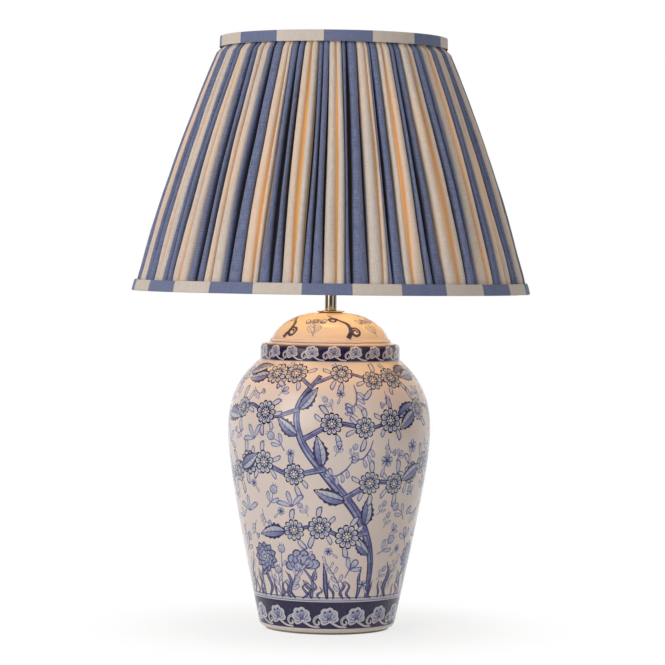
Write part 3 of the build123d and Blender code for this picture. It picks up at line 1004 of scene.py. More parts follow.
def leaf(spot, length, width, bend=0.0, teeth=5, ink=0.93):
    """A pointed leaf with toothed dark edges, a pale and a shaded half, and veins."""
    count = 2 * teeth

    def rib(share):
        """How far to the right the leaf's middle lies, part of the way up."""
        return bend * share * share

    def half(side, scale, tooth):
        """One side's edge, scaled across, with teeth of a share of its width."""
        points = []
        for index in range(count + 1):
            share = index / count
            reach = width / 2 * math.sin(math.pi * share ** 0.8) * scale
            reach *= 1 + tooth * (index % 2)
            points.append((rib(share) + side * reach, length * share))
        return points

    ribs = [(rib(index / count), length * index / count) for index in range(count + 1)]
    spot.area(half(1, 0.95, 0.32) + half(-1, 0.95, 0.2)[::-1][1:-1], ink)
    inner = slice(1, -1)
    spot.area(half(1, 0.66, 0)[inner] + ribs[inner][::-1], (0.34, 0.16))
    spot.area(half(-1, 0.7, 0)[inner] + ribs[inner][::-1], (0.6, 0.34))
    spot.stroke(ribs[:-1], (1.2, 0.5), ink + 0.06)
    for number in range(1, teeth):
        share = number / teeth
        start = spot.from_here(rib(share), length * share)
        reach = width * 0.26 * math.sin(math.pi * share ** 0.8)
        for side in (-1, 1):
            start.stroke([(0, 0), (side * reach, reach * 0.9)], (0.7, 0.3), 0.68)
    for share in (0.3, 0.7):
        spot.claim(rib(share), length * share, width * 0.55 * spot.size)


def comma(spot, length, width, bend, ink=0.66, fill=0.24):
    """A curved leaf mark with a dark edge and a paler heart."""
    stops = [(0, 0), (0.3, 0.4), (0.9, 0.8), (1.7, 1.0)]
    line = curve_through([(bend * right, length * up) for right, up in stops], 4)
    spot.stroke(line, (0.4, width * 0.9, width, width * 0.3), ink)
    spot.stroke(line[2:-2], (width * 0.25, width * 0.62, width * 0.6, width * 0.2), fill)


def berry(spot, radius, ink=0.72):
    """A round fruit with a small crown."""
    for crown in spot.fan((-28, 0, 28)):
        crown.stroke([(0, radius * 0.9), (0, radius * 1.6)], (1.0, 0.3), ink)
    spot.area(disc(radius), ink)
    spot.area(disc(radius * 0.8), (0.2, 0.4))
    for x, y in ((-0.25, -0.1), (0.25, -0.1), (0.0, 0.28)):
        spot.area(disc(radius * 0.09, x * radius, y * radius, 6), 0.75)


def bud(spot, length, ink=0.75):
    """A closed bud in its cup."""
    spot.area(petal_outline(length, length * 0.66), ink)
    spot.area(petal_outline(length * 0.74, length * 0.42, length * 0.14), (0.4, 0.16))
    for cup in spot.fan((-35, 35)):
        cup.area(petal_outline(length * 0.5, length * 0.26), ink + 0.08)


def tendril(spot, radius, side=1, ink=0.75, width=1.9):
    """A line that winds in on itself."""
    line = []
    for index in range(25):
        share = index / 24
        angle = 2 * math.pi * 1.45 * share
        reach = radius * (1 - 0.72 * share)
        line.append((side * (radius - reach * math.cos(angle)), reach * math.sin(angle)))
    spot.stroke(line, (width * 0.8, width, width * 0.6), ink)


def fern(spot, length, bend, rng, ink=0.56):
    """A bowed stem with pairs of leaf marks."""
    stem = curve_through([(0, 0), (bend * 0.25, length * 0.5), (bend, length)])
    spot.stroke(stem, (1.5, 0.8), ink + 0.1)
    pairs = max(int(length / 9.5), 3)
    for number in range(1, pairs + 1):
        share = number / (pairs + 0.5)
        point = stem[int(share * (len(stem) - 1))]
        size = 1.15 - 0.5 * share
        for side in (-1, 1):
            twig = spot.from_here(point.x, point.y, side * rng.uniform(42, 60))
            comma(twig, 11.5 * size, 4.4 * size, side * -2.4 * size, ink, 0.2)
    tip = spot.from_here(stem[-1].x, stem[-1].y)
    comma(tip, 8, 3.6, bend * 0.12, ink, 0.2)
    for share in (0.3, 0.75):
        spot.claim(bend * share * share, length * share, length * 0.2)


def berry_spray(spot, height, rng):
    """Thin bowed stems with crowned fruits and small leaves."""
    for lean, share in ((-26, 0.68), (2, 1.0), (30, 0.76), (-8, 0.52)):
        stem = spot.from_here(0, 0, lean)
        reach = height * share
        line = curve_through([(0, 0), (lean * 0.12, reach * 0.5), (0, reach)])
        stem.stroke(line, (1.4, 0.9), 0.62)
        berry(stem.from_here(0, reach + 4), rng.uniform(4.8, 5.8))
        for side in (-1, 1):
            twig = stem.from_here(lean * 0.1, reach * rng.uniform(0.45, 0.7), side * 52)
            comma(twig, 9, 3.8, side * -2.0, 0.58)
    for share in (0.35, 0.85):
        spot.claim(0, height * share, height * 0.27)


def drooping_sprig(spot, length, side):
    """A hooked stem with leaf marks on its outer side and a bell at its end."""
    stops = [(0, 0), (1.5, 0.45), (5, 0.85), (9, 1.0)]
    line = curve_through([(side * right, length * up) for right, up in stops])
    spot.stroke(line, (1.0, 1.6, 1.2), 0.62)
    for share in (0.3, 0.55, 0.8):
        point = line[int(share * (len(line) - 1))]
        twig = spot.from_here(point.x, point.y, -side * 48)
        comma(twig, 8.5, 3.8, side * 1.6, 0.6)
    bell = spot.from_here(line[-1].x, line[-1].y, side * 96)
    for part in bell.fan((-30, 0, 30)):
        part.area(petal_outline(8, 4.4), 0.7)
        part.area(petal_outline(5.6, 2.6, 1.0), 0.24)


def blade(spot, length, width, wave, ink=0.8):
    """A wavy blade of grass."""
    stops = [(0, 0), (wave, length * 0.3), (-wave * 0.4, length * 0.65), (wave * 0.8, length)]
    line = curve_through(stops)
    spot.stroke(line, (width * 0.5, width, width * 0.8, 0.3), (ink, ink - 0.1))
    spot.stroke(line[2:-3], (width * 0.1, width * 0.32, width * 0.2), ink - 0.36)


def fan_flower(spot, radius, rng):
    """A flower seen from its side: a fan of round petals over a cup."""
    for row, (reach, count, spread) in enumerate(((1.0, 6, 80), (0.72, 5, 64), (0.45, 3, 34))):
        leans = [-spread + 2 * spread * number / (count - 1) for number in range(count)]
        for part in spot.fan(leans):
            length = radius * reach * rng.uniform(0.94, 1.05)
            part.area(petal_outline(length, radius * 0.6), 0.8)
            heart = petal_outline(length * 0.84, radius * 0.46, radius * 0.08)
            part.area(heart, (0.16 + 0.05 * row, 0.4))
            part.stroke([(0, length * 0.4), (0, length * 0.82)], (0.8, 0.3), 0.55)
    for lean in (-40, 0, 40):
        cup = spot.from_here(0, -radius * 0.12, lean)
        cup.area(petal_outline(radius * 0.34, radius * 0.2), 0.86)
    spot.claim(0, radius * 0.5, radius * 0.85)


def branch(pot, stops, widths, inks=(0.66, 0.78)):
    """A painted limb through (degrees, along) stops; returns its smooth line."""
    line = curve_through(stops, 7)
    # Each streak runs along the limb between two shares of its width
    streaks = ((0.5, -0.5, 0.04), (0.5, 0.36, 0.22), (0.28, 0.02, -0.26), (-0.14, -0.28, -0.18))
    edges = []
    for index, point in enumerate(line):
        way_right, way_up, radius = way_along(pot, line, index)
        way = Vector((way_right, way_up)).normalized()
        share = index / (len(line) - 1)
        edges.append((point, Vector((-way.y, way.x)), level(widths, share), radius))

    def edge(item, share):
        point, side, width, radius = item
        x = math.radians(point.x) + side.x * width * share / radius
        return (x * pot.girth, point.y + side.y * width * share)

    for number, (before, after) in enumerate(zip(edges, edges[1:])):
        ink = level(inks, number / (len(line) - 1))
        for left, right, change in streaks:
            corners = [(before, left), (after, left), (after, right), (before, right)]
            tone = ink + change + 0.05 * math.sin(number * 1.7)
            pot.paint([edge(item, share) for item, share in corners], tone)
        if number % 4 == 0:
            pot.take(before[0].x, before[0].y, before[2] * 0.7)
    return line


def way_along(pot, line, index):
    """Millimetres right and up that a limb goes at one of its points, and the radius there."""
    before, after = line[max(index - 1, 0)], line[min(index + 1, len(line) - 1)]
    radius, _ = pot.side(line[index].y)
    return math.radians(after.x - before.x) * radius, after.y - before.y, radius


def heading(pot, line, index):
    """Which way a limb points at one of its points, in degrees from upwards."""
    right, up, _ = way_along(pot, line, index)
    return math.degrees(math.atan2(right, up))


def flowering_branch(pot, stops, widths, flowers, rng):
    """A limb with blossoms along it, leaf marks between them and a leaf at its tip."""
    line = branch(pot, stops, widths)
    last = len(line) - 1
    shares = [(number + 0.95) / (flowers + 0.1) for number in range(flowers)]
    places = [line[min(int(share * last), last)] for share in shares]
    for point in places:
        way = heading(pot, line, line.index(point))
        for side in (-1, 1):
            mark = pot.spot(point.x, point.y, way + side * rng.uniform(50, 110))
            comma(mark.from_here(0, 9), rng.uniform(14, 19), 7.0, side * 3.8, 0.7, 0.2)
            if rng.random() < 0.75:
                other = pot.spot(point.x, point.y, way + side * rng.uniform(140, 165))
                comma(other.from_here(0, 9), rng.uniform(11, 15), 5.6, side * -3.0, 0.62, 0.18)
    tip = line[last]
    way = heading(pot, line, last)
    leaf(pot.spot(tip.x, tip.y, way + rng.uniform(-18, 18)), 37, 17.0, rng.uniform(-8, 8), 6)
    for point in places:
        radius = rng.uniform(12.0, 14.6)
        spot = pot.spot(point.x, point.y + rng.uniform(-1.5, 1.5))
        blossom(spot, radius, rng, rng.choice((9, 10, 11)))


def flowering_tree(pot, turn, rng):
    """A trunk that bows to one side and back, with limbs on both sides."""
    def at(degrees, along):
        return (turn + degrees, along)

    trunk = branch(
        pot,
        [
            at(31, FIELD_BASE), at(30, 92), at(19, 138), at(1, 180), at(-15, 222), at(-18, 262),
            at(-6, 300),
        ],
        (6.0, 8.0, 11.0, 11.0, 9.0, 7.0, 5.0),
        (0.86, 0.76, 0.66, 0.64, 0.7, 0.76),
    )
    limbs = (
        ([at(26, 120), at(10, 116), at(-8, 127), at(-28, 120)], (6.5, 4.0), 3),
        ([at(10, 160), at(27, 177), at(44, 177), at(60, 190)], (7.0, 4.0), 3),
        ([at(-3, 192), at(-23, 186), at(-42, 199), at(-56, 194)], (7.0, 4.0), 3),
        ([at(-14, 226), at(4, 243), at(23, 238), at(42, 250)], (6.5, 4.0), 3),
        ([at(-18, 258), at(-34, 250), at(-50, 262), at(-62, 256)], (5.5, 3.6), 2),
        ([at(-9, 290), at(11, 303), at(32, 292), at(50, 301)], (5.0, 3.4), 3),
        ([at(-11, 284), at(-26, 304), at(-44, 300)], (5.0, 3.4), 2),
    )
    leaves = ((7, -1, 30), (12, 1, 34), (17, -1, 38), (23, 1, 36), (29, -1, 33), (34, 1, 32))
    for index, side, length in leaves:
        point = trunk[index]
        mark = pot.spot(point.x, point.y, heading(pot, trunk, index) + side * 40)
        leaf(mark.from_here(0, 3), length, length * 0.45, side * -6, 6)
    for stops, widths, flowers in limbs:
        flowering_branch(pot, stops, widths, flowers, rng)


def standing_flower(pot, turn, draw, height, lean, size, rng):
    """A bowed stem with two leaves and a flower at its top."""
    foot = pot.spot(turn, FIELD_BASE, lean)
    bow = -lean * 0.45
    line = curve_through([(0, 0), (bow, height * 0.5), (0, height)])
    foot.stroke(line, (4.0, 3.2, 2.6), 0.68)
    foot.stroke(line, (1.4, 1.0, 0.8), 0.46)
    for side, share in ((-1, 0.28), (1, 0.5)):
        point = line[int(share * (len(line) - 1))]
        place = foot.from_here(point.x, point.y, side * 44)
        leaf(place, height * 0.42, height * 0.17, side * -4, 5)
    draw(foot.from_here(0, height, -lean * 0.6), size, rng)


def undergrowth(pot, rng):
    """What grows from the base band: flowers, ferns, fruits and grasses."""
    for turn in (0, 120, 240):
        standing_flower(pot, turn - 12, fan_flower, 37, -14, 21, rng)
        standing_flower(pot, turn + 66, rosette, 46, 12, 18.5, rng)
        fern(pot.spot(turn + 12, FIELD_BASE, -16), 46, -9, rng)
        fern(pot.spot(turn + 45, FIELD_BASE, 14), 44, 8, rng)
        berry_spray(pot.spot(turn - 36, FIELD_BASE, 4), 52, rng)
        fern(pot.spot(turn + 90, FIELD_BASE, 18), 54, 12, rng)
    for number in range(60):
        foot = pot.spot(6 * number + rng.uniform(-2, 2), FIELD_BASE - 0.5, rng.uniform(-16, 16))
        tall = rng.uniform(30, 46) if number % 4 == 0 else rng.uniform(14, 25)
        blade(foot, tall, tall * rng.uniform(0.08, 0.11) + 1.4, rng.uniform(-5, 5), 0.9)


def bud_sprig(spot, rng):
    """A bud on a short stem between two leaf marks."""
    bud(spot.from_here(0, -3), 11, 0.62)
    for side in (-1, 1):
        comma(spot.from_here(0, -4, side * 62), 11, 4.6, side * -2.6, 0.58)
    spot.stroke(curve_through([(2, -12), (1, -8), (0, -3)]), (0.9, 1.3), 0.62)


def bell_sprig(spot, rng):
    """A sprig that hangs to either side."""
    drooping_sprig(spot.from_here(0, 9, 180), 19, rng.choice((-1, 1)))


def leaf_sprig(spot, rng):
    """Three leaf marks from one point."""
    for lean in (-46, 0, 46):
        comma(spot.from_here(0, -7, lean), 15, 5.0, lean / 16, 0.58)


def floret(spot, rng):
    """A flower of five petals with a leaf mark under it."""
    side = rng.choice((-1, 1))
    for number in range(5):
        petal = spot.from_here(0, 2, 72 * number)
        petal.area(petal_outline(6.6, 5.4), 0.68)
        petal.area(petal_outline(4.8, 3.0, 1.6), (0.38, 0.16))
    spot.area(disc(1.6, 0, 2, 8), 0.88)
    comma(spot.from_here(side * 1.5, -4, 180 - side * 30), 9, 4.0, side * 2.0, 0.58)


def fruit_sprig(spot, rng):
    """A crowned fruit on a stem between two leaf marks."""
    spot.stroke(curve_through([(0, -11), (2.2, -2), (0, 5)]), (1.2, 0.8), 0.56)
    berry(spot.from_here(0, 8), 4.2, 0.62)
    for side in (-1, 1):
        comma(spot.from_here(1.4, -5, side * 54), 10, 4.2, side * -2.2, 0.54)


def fillers(pot, low, high, rng):
    """Smaller sprigs in whatever stays bare between the larger motifs."""
    for room, tries in ((13.5, 1500), (8.6, 2500)):
        for _ in range(tries):
            degrees, along = rng.uniform(-180, 180), rng.uniform(low, high)
            if not pot.room(degrees, along, room):
                continue
            spot = pot.spot(degrees, along, rng.uniform(-50, 50), room / 10.8)
            rng.choice((bud_sprig, bell_sprig, leaf_sprig, floret, fruit_sprig))(spot, rng)
            pot.take(degrees, along, room * 0.8)


def palmette(spot, height):
    """A leaning shell of outlined lobes that rises from a running wave."""
    unit = height / 24.0
    stops = [
        (21, 0.8), (13, 1.6), (6.5, 5.0), (0, 10), (-6, 13), (-11.6, 11.6), (-13.8, 7),
        (-11.2, 3.4), (-8.0, 4.8), (-9.2, 7.6),
    ]
    wave = [point * unit for point in curve_through(stops, 4)]
    spot.stroke(wave, (1.5 * unit, 2.9 * unit, 2.6 * unit, 1.4 * unit), 0.15)
    spot.stroke(wave[8:-8], (0.6 * unit, 0.9 * unit, 0.5 * unit), 0.55)
    fan = spot.from_here(3.4 * unit, 6.8 * unit, -16)
    lobes = ((-68, 0.62), (68, 0.62), (-40, 0.86), (40, 0.86), (-13, 1.0), (14, 0.98))
    parts = fan.fan([lean for lean, _ in lobes])
    for part, (_, reach) in zip(parts, lobes):
        part.area(petal_outline(16.5 * unit * reach, 9.6 * unit), 0.14)
    for part, (_, reach) in zip(parts, lobes):
        heart = petal_outline(12.8 * unit * reach, 6.2 * unit, 2.6 * unit * reach)
        part.area(heart, (0.66, 0.22))
        vein = [(0, 5 * unit * reach), (0, 13 * unit * reach)]
        part.stroke(vein, (1.4 * unit, 0.5 * unit), 0.08)
    for part in parts[-2:]:
        part.area(disc(1.3 * unit, 0, 11.6 * unit, 8), 0.97)
        part.stroke([(0, 1.5 * unit), (0, 8.5 * unit)], (1.1 * unit, 0.7 * unit), 0.85)


def ring_line(pot, low, high, ink):
    """A painted line or band all the way round, between two distances along the side."""
    across = [pot.left + pot.width * column / pot.columns for column in range(pot.columns + 1)]
    edge = [(x, low) for x in across] + [(x, high) for x in reversed(across)]
    pot.shapes.append((edge, (ink, ink), (edge[0], edge[-1])))


def paint_jar(pot):
    """The jar's painting, from the foot band upwards."""
    rng = random.Random(11)
    low, high = (pot.at_height(height) for height in FOOT_BAND)
    ring_line(pot, low, high, 1.0)
    for number in range(16):
        palmette(pot.spot(-90 + 22.5 * number, low + 1.0), (high - low) * 0.81)
    for start, end, ink in ((0.0, 1.2, 0.12), (1.2, 1.9, 0.85), (1.9, 4.9, 0.26), (4.9, 5.8, 0.78)):
        ring_line(pot, high + start, high + end, ink)
    undergrowth(pot, rng)
    for turn in (0, 120, 240):
        flowering_tree(pot, turn, rng)
    fillers(pot, 58, pot.lengths[-1] - 12, rng)


def jar_outlines():
    """The jar's painted outside and its plain inside, as (radius, height)."""
    base, _ = heights("jar_body")
    ledge, _ = heights("jar_lid")
    neck_top = heights("jar_body")[1]

    def lifted(points):
        return [(radius, base + height) for radius, height in points]

    def side(inset):
        belly = (BELLY_RADIUS - inset, BELLY_HEIGHT)
        lower = [
            (FOOT_RADIUS - inset, FOOT_EDGE),
            (WAIST_PULL[0] - inset, WAIST_PULL[1]),
            (BELLY_RADIUS - inset, BELLY_HEIGHT - BELLY_REACH_DOWN),
            belly,
        ]
        upper = [
            belly,
            (BELLY_RADIUS - inset, BELLY_HEIGHT + BELLY_REACH_UP - inset / 2),
            (SHOULDER_PULL[0] - inset, SHOULDER_PULL[1] - inset),
            (LEDGE_RADIUS - inset, ledge - base - inset),
        ]
        return bezier(lifted(lower), 44)[:-1] + bezier(lifted(upper), 26)

    foot = [(FOOT_RIM_RADIUS, 0), (FOOT_RADIUS - 1, FOOT_EDGE / 15), (FOOT_RADIUS, FOOT_EDGE)]
    outside = bezier(lifted(foot), 7)[:-1] + side(0)
    inner = side(JAR_WALL)[::-1]
    floor_top = base + FLOOR_HEIGHT + FLOOR_THICKNESS
    floor_low = base + FLOOR_HEIGHT
    above = [point for point in inner if point.y > floor_top + 1][::3]
    below = [point for point in inner if point.y < floor_low - 1]
    inside = [
        (NECK_RADIUS, ledge),
        (NECK_RADIUS, neck_top),
        (NECK_RADIUS - JAR_WALL, neck_top),
        (NECK_RADIUS - JAR_WALL, ledge - JAR_WALL),
        *above,
        (above[-1].x - 1, floor_top),
        (ROD_HOLE, floor_top),
        (ROD_HOLE, floor_low),
        (below[0].x, floor_low),
        *below,
        (FOOT_RIM_RADIUS - FOOT_RIM_WIDTH, base),
    ]
    return outside, inside


def make_jar():
    """The blue and white jar."""
    outside, inside = jar_outlines()
    pot = Pot(outside, inside, SEAM, 180)
    paint_jar(pot)
    jar = pot.build("painted_jar", MATERIALS["painted_glaze"])
    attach(jar, "base")
    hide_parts("jar_body")


def lid_shelf():
    """Height of the flat shelf over the lid's collar."""
    return heights("jar_lid")[0] + COLLAR_STRAIGHT + COLLAR_ROUND + SHELF_RISE


def lid_outlines():
    """The lid's painted outside and its plain inside, as (radius, height)."""
    base, top = heights("jar_lid")
    collar = radius_of("jar_lid")
    shelf = lid_shelf()
    dome_base = shelf + BEAD_HEIGHT + DOME_STEP

    def dome(inset):
        rise = top - dome_base
        return bezier(
            [
                (DOME_RADIUS - inset, dome_base),
                (DOME_RADIUS - DOME_FLANK[0] - inset, dome_base + DOME_FLANK[1] * rise - inset / 2),
                (DOME_CROWN, top - inset),
                (LID_TOP_RADIUS, top - inset),
            ],
            26,
        )

    straight = base + COLLAR_STRAIGHT
    arc = [
        (
            collar - COLLAR_ROUND + COLLAR_ROUND * math.cos(math.radians(angle)),
            straight + COLLAR_ROUND * math.sin(math.radians(angle)),
        )
        for angle in range(0, 91, 15)
    ]
    steps = [(collar, base), (collar, base + 0.6), (collar, base + 5), (collar, base + 9)]
    bead = bezier([(BEAD_RADIUS + 1.2, shelf), (BEAD_RADIUS, shelf), (BEAD_RADIUS, shelf + 1.2)], 3)
    bead += bezier(
        [
            (BEAD_RADIUS, shelf + BEAD_HEIGHT - 1.0),
            (BEAD_RADIUS, shelf + BEAD_HEIGHT + 0.4),
            (DOME_RADIUS + 1.0, dome_base - 0.4),
            (DOME_RADIUS + 0.1, dome_base - 0.1),
        ],
        5,
    )
    outside = steps + arc + bead + dome(0) + [(9.5, top), (ROD_HOLE, top)]
    inner_base = DOME_RADIUS - LID_WALL
    inside = [
        (ROD_HOLE, top - LID_WALL),
        *dome(LID_WALL)[::-1][::3],
        (inner_base, base + LID_CEILING),
        (collar - COLLAR_WALL, base + LID_CEILING),
        (collar - COLLAR_WALL, base),
    ]
    return outside, inside


def paint_lid(pot):
    """The lid's palmette collar, its lines, and tendrils and sprigs on the dome."""
    rng = random.Random(5)
    base, _ = heights("jar_lid")
    edge = pot.at_height(base + COLLAR_STRAIGHT + COLLAR_ROUND * 0.75)
    ring_line(pot, 0.4, 1.2, 0.3)
    ring_line(pot, 1.2, edge, 1.0)
    ring_line(pot, edge, edge + 2.2, 0.55)
    for number in range(20):
        palmette(pot.spot(-88 + 18 * number, 1.8), (edge - 1.2) * 1.03)
    shelf = lid_shelf()
    for height, ink in ((0.4, 0.5), (BEAD_HEIGHT + 0.9, 0.55)):
        along = pot.at_height(shelf + height)
        ring_line(pot, along, along + 0.9, ink)
    field = pot.at_height(shelf + BEAD_HEIGHT + 3.0)
    for number in range(5):
        stem = pot.spot(-54 + 72 * number, field, 6, 1.22)
        line = curve_through([(0, 0), (3, 8), (1, 17), (-5, 22), (-11, 27), (-15, 33)], 5)
        stem.stroke(line, (4.8, 3.6, 2.6, 1.2), (0.98, 0.86))
        tendril(stem.from_here(2.4, 10, 30), 5.6, 1, 0.94, 2.8)
        tendril(stem.from_here(-7, 23.5, -10), 4.6, -1, 0.9, 2.4)
        stem = pot.spot(-18 + 72 * number, field, -4, 1.1)
        stem.stroke(curve_through([(0, 2), (1, 10), (0, 18)]), (1.2, 0.9), 0.5)
        for side in (-1, 1):
            comma(stem.from_here(0, 5, side * 50), 12, 4.2, side * -2.4, 0.44, 0.16)
            comma(stem.from_here(0, 12, side * 38), 12, 4.2, side * -2.4, 0.44, 0.16)
            bud(stem.from_here(side * 7, 19, side * 22), 10, 0.56)
        blossom(stem.from_here(0, 24), 5.4, rng, 7)


def make_lid():
    """The domed lid."""
    outside, inside = lid_outlines()
    pot = Pot(outside, inside, SEAM, 144)
    paint_lid(pot)
    lid = pot.build("painted_lid", MATERIALS["painted_glaze"])
    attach(lid, "base")
    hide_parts("jar_lid")


# --- Metal, lampholder and bulb -------------------------------------------------------

def turned_piece(name, outline, slot, body, *nodes, soft=0.6, segments=96):
    """A turned piece with softened edges that stands for CAD nodes."""
    piece = lathe(name, softened(outline, soft), MATERIALS[slot], segments)
    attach(piece, body)
    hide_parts(*nodes)
    return piece


def make_stem():
    """The metal disc on the lid and the tube that rises from it."""
    low, high = heights("vase_cap")
    radius = radius_of("vase_cap")
    turned_piece(
        "vase_cap_disc",
        [
            (ROD_BORE, low), (radius, low), (radius - 0.3, high - 0.5), (9.5, high - 0.1),
            (9.0, high), (ROD_BORE, high),
        ],
        "satin_nickel", "base", "vase_cap", soft=0.5,
    )
    low, high = heights("stem_tube")
    radius = radius_of("stem_tube")
    turned_piece(
        "stem_sleeve",
        [
            (radius - 1.6, low), (radius, low), (radius, low + 1.3), (radius - 0.35, low + 1.6),
            (radius - 0.35, low + 2.0), (radius, low + 2.3), (radius, high - 0.4),
            (radius - 1.6, high),
        ],
        "satin_nickel", "base", "stem_tube", soft=0.3,
    )


def make_holder():
    """The lampholder's cap, body and shade ring."""
    low, high = heights("lampholder_cap")
    turned_piece(
        "holder_cap",
        [
            (ROD_BORE, low), (HOLDER_NECK, low), (HOLDER_NECK, low + 6.0),
            (HOLDER_CAP, low + 12.0), (HOLDER_CAP, high), (HOLDER_CAP - HOLDER_WALL, high),
            (HOLDER_CAP - HOLDER_WALL, low + 12.0 + HOLDER_WALL),
            (HOLDER_NECK, low + 6.0 + HOLDER_WALL), (ROD_BORE, low + 6.0 + HOLDER_WALL),
        ],
        "satin_nickel", "base", "lampholder_cap", soft=1.2,
    )
    low, high = heights("shade_clamp_ring")
    radius = radius_of("shade_clamp_ring")
    turned_piece(
        "shade_ring",
        [
            (HOLDER_THREAD, low), (radius - 0.5, low), (radius - 0.5, high), (HOLDER_THREAD, high),
        ],
        "holder_plastic", "base", "shade_clamp_ring", soft=1.0,
    )
    add_grip_ribs(low, high, radius - 0.55)


def add_grip_ribs(low, high, radius):
    """Upright ribs round the shade ring, by which it is turned."""
    sizes = ("Ring Radius", "Rib Radius", "Rib Height", "Middle Height")
    tree, given = new_tree("grip_ribs", sizes, ("Rib Count",))
    ring = {"Vertices": given["Rib Count"], "Radius": given["Ring Radius"]}
    circle = node_of(tree, "GeometryNodeMeshCircle", ring)
    bar = {"Vertices": 10, "Radius": given["Rib Radius"], "Depth": given["Rib Height"]}
    rib = node_of(tree, "GeometryNodeMeshCylinder", bar)
    copies = node_of(tree, "GeometryNodeInstanceOnPoints", {
        "Points": circle.outputs["Mesh"],
        "Instance": rib.outputs["Mesh"],
    })
    lift = node_of(tree, "GeometryNodeTransform", {
        "Geometry": copies.outputs[0],
        "Translation": vector_of(tree, 0.0, 0.0, given["Middle Height"]),
    })
    end_tree(tree, lift.outputs[0], "holder_plastic")
    ribs = grown("shade_ring_ribs", tree, {
        "Rib Count": 36,
        "Ring Radius": radius * MM,
        "Rib Radius": 0.9 * MM,
        "Rib Height": (high - low - 2.4) * MM,
        "Middle Height": (high + low) / 2 * MM,
    })
    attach(ribs, "base")


def new_tree(name, sizes, counts):
    """A geometry node tree and its named inputs, of which the counts are whole numbers."""
    tree = bpy.data.node_groups.new(name, "GeometryNodeTree")
    face = tree.interface
    face.new_socket("Geometry", in_out="OUTPUT", socket_type="NodeSocketGeometry")
    for kind, names in (("NodeSocketFloat", sizes), ("NodeSocketInt", counts)):
        for socket in names:
            face.new_socket(socket, in_out="INPUT", socket_type=kind)
    inputs = tree.nodes.new("NodeGroupInput").outputs
    return tree, {socket: Sum(tree, inputs[socket]) for socket in (*sizes, *counts)}


def end_tree(tree, geometry, material):
    """The end of a tree: copies made real, their material and the way out."""
    real = node_of(tree, "GeometryNodeRealizeInstances", {0: geometry})
    finish = {"Geometry": real.outputs[0], "Material": MATERIALS[material]}
    dressed = node_of(tree, "GeometryNodeSetMaterial", finish)
    node_of(tree, "NodeGroupOutput", {0: dressed.outputs[0]})


def grown(name, tree, values):
    """A plain mesh object from a geometry node tree and values for its named inputs."""
    seed = bpy.data.meshes.new(name + "_seed")
    piece = bpy.data.objects.new(name, seed)
    bpy.context.scene.collection.objects.link(piece)
    modifier = piece.modifiers.new("grow", "NODES")
    modifier.node_group = tree
    for socket in tree.interface.items_tree:
        if socket.in_out == "INPUT":
            modifier[socket.identifier] = values[socket.name]
    settle(piece)
    piece.data.name = name
    return piece


def settle(piece):
    """Turns what a piece's modifiers make into its plain mesh."""
    bpy.context.view_layer.update()
    graph = bpy.context.evaluated_depsgraph_get()
    mesh = bpy.data.meshes.new_from_object(piece.evaluated_get(graph))
    piece.modifiers.clear()
    piece.data = mesh


def make_bulb():
    """The opal globe and the collar that carries it."""
    low, high = heights("bulb_collar")
    neck = radius_of("bulb_cap")
    rim = radius_of("bulb_collar")
    flare = bezier([(neck, low), (neck, low + (high - low) / 2), (rim, high)], 12)
    collar = lathe(
        "bulb_collar_shell",
        [(0, low), *flare, (rim - 0.8, high), (0, high)],
        MATERIALS["bulb_collar_plastic"],
    )
    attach(collar, "base")
    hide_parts("bulb_collar")
    base, top = heights("bulb_globe")
    radius = radius_of("bulb_globe")
    middle = top - radius
    side = bezier([(rim - 0.4, base), (radius, base + (middle - base) / 2), (radius, middle)], 10)
    crown = [
        (radius * math.cos(math.radians(angle)), middle + radius * math.sin(math.radians(angle)))
        for angle in range(6, 90, 6)
    ]
    globe = lathe("bulb_opal", [(0, base), *side, *crown, (0, top)], MATERIALS["opal_glass"])
    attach(globe, "base")
    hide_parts("bulb_globe")


def make_foot():
    """The felt under the jar."""
    low, high = heights("base_pad")
    radius = radius_of("base_pad")
    felt = turned_piece(
        "felt_foot",
        [(0, low), (radius, low), (radius, high), (0, high)],
        "felt", "base", "base_pad", soft=0.7,
    )


# --- Shade ----------------------------------------------------------------------------

CLOTH_BASE, CLOTH_TOP = heights("pleated_cloth")


def ridge_radius(height):
    """Radius of the cloth's ridges at a height, on its slightly bowed side."""
    share = (height - CLOTH_BASE) / (CLOTH_TOP - CLOTH_BASE)
    return RIDGE_BOTTOM + (RIDGE_TOP - RIDGE_BOTTOM) * share + 4 * SHADE_BOW * share * (1 - share)


def random_of(tree, number, low, high, seed):
    """A random number for each whole number."""
    # The node's inputs 2 and 3 and its output 1 are those of a single number
    inputs = {2: low, 3: high, "ID": number, "Seed": seed}
    node = node_of(tree, "FunctionNodeRandomValue", inputs, data_type="FLOAT")
    return Sum(tree, node.outputs[1])


def kept_on_mesh(tree, mesh, name, kind, domain, value):
    """The mesh with a value on it, for its material to read."""
    inputs = {"Geometry": mesh, "Name": name}
    node = node_of(
        tree, "GeometryNodeStoreNamedAttribute", inputs, data_type=kind, domain=domain
    )
    # Of the node's inputs of this name, only that of the right kind is in use
    used = [socket for socket in node.inputs if socket.name == "Value" and socket.enabled]
    feed(tree, used[0], value)
    return node.outputs[0]


CLOTH_SIZES = (
    "Bottom Radius", "Top Radius", "Bow", "Bottom Height", "Cloth Height", "Bottom Depth",
    "Middle Depth", "Top Depth", "First Turn", "Stripe Width", "Top Band Radius", "Top Band Edge",
)
CLOTH_COUNTS = ("Stripes", "Columns", "Rows", "Seed")
RIDGE_SHARE = 0.42  # of a stripe's width, for each of its two ridges
FLOOR_SHARE = 0.16  # of a stripe's width, for the hollow between them
EDGE_SHARE = 0.0625  # of a stripe's width, for the cloth that falls away at each edge


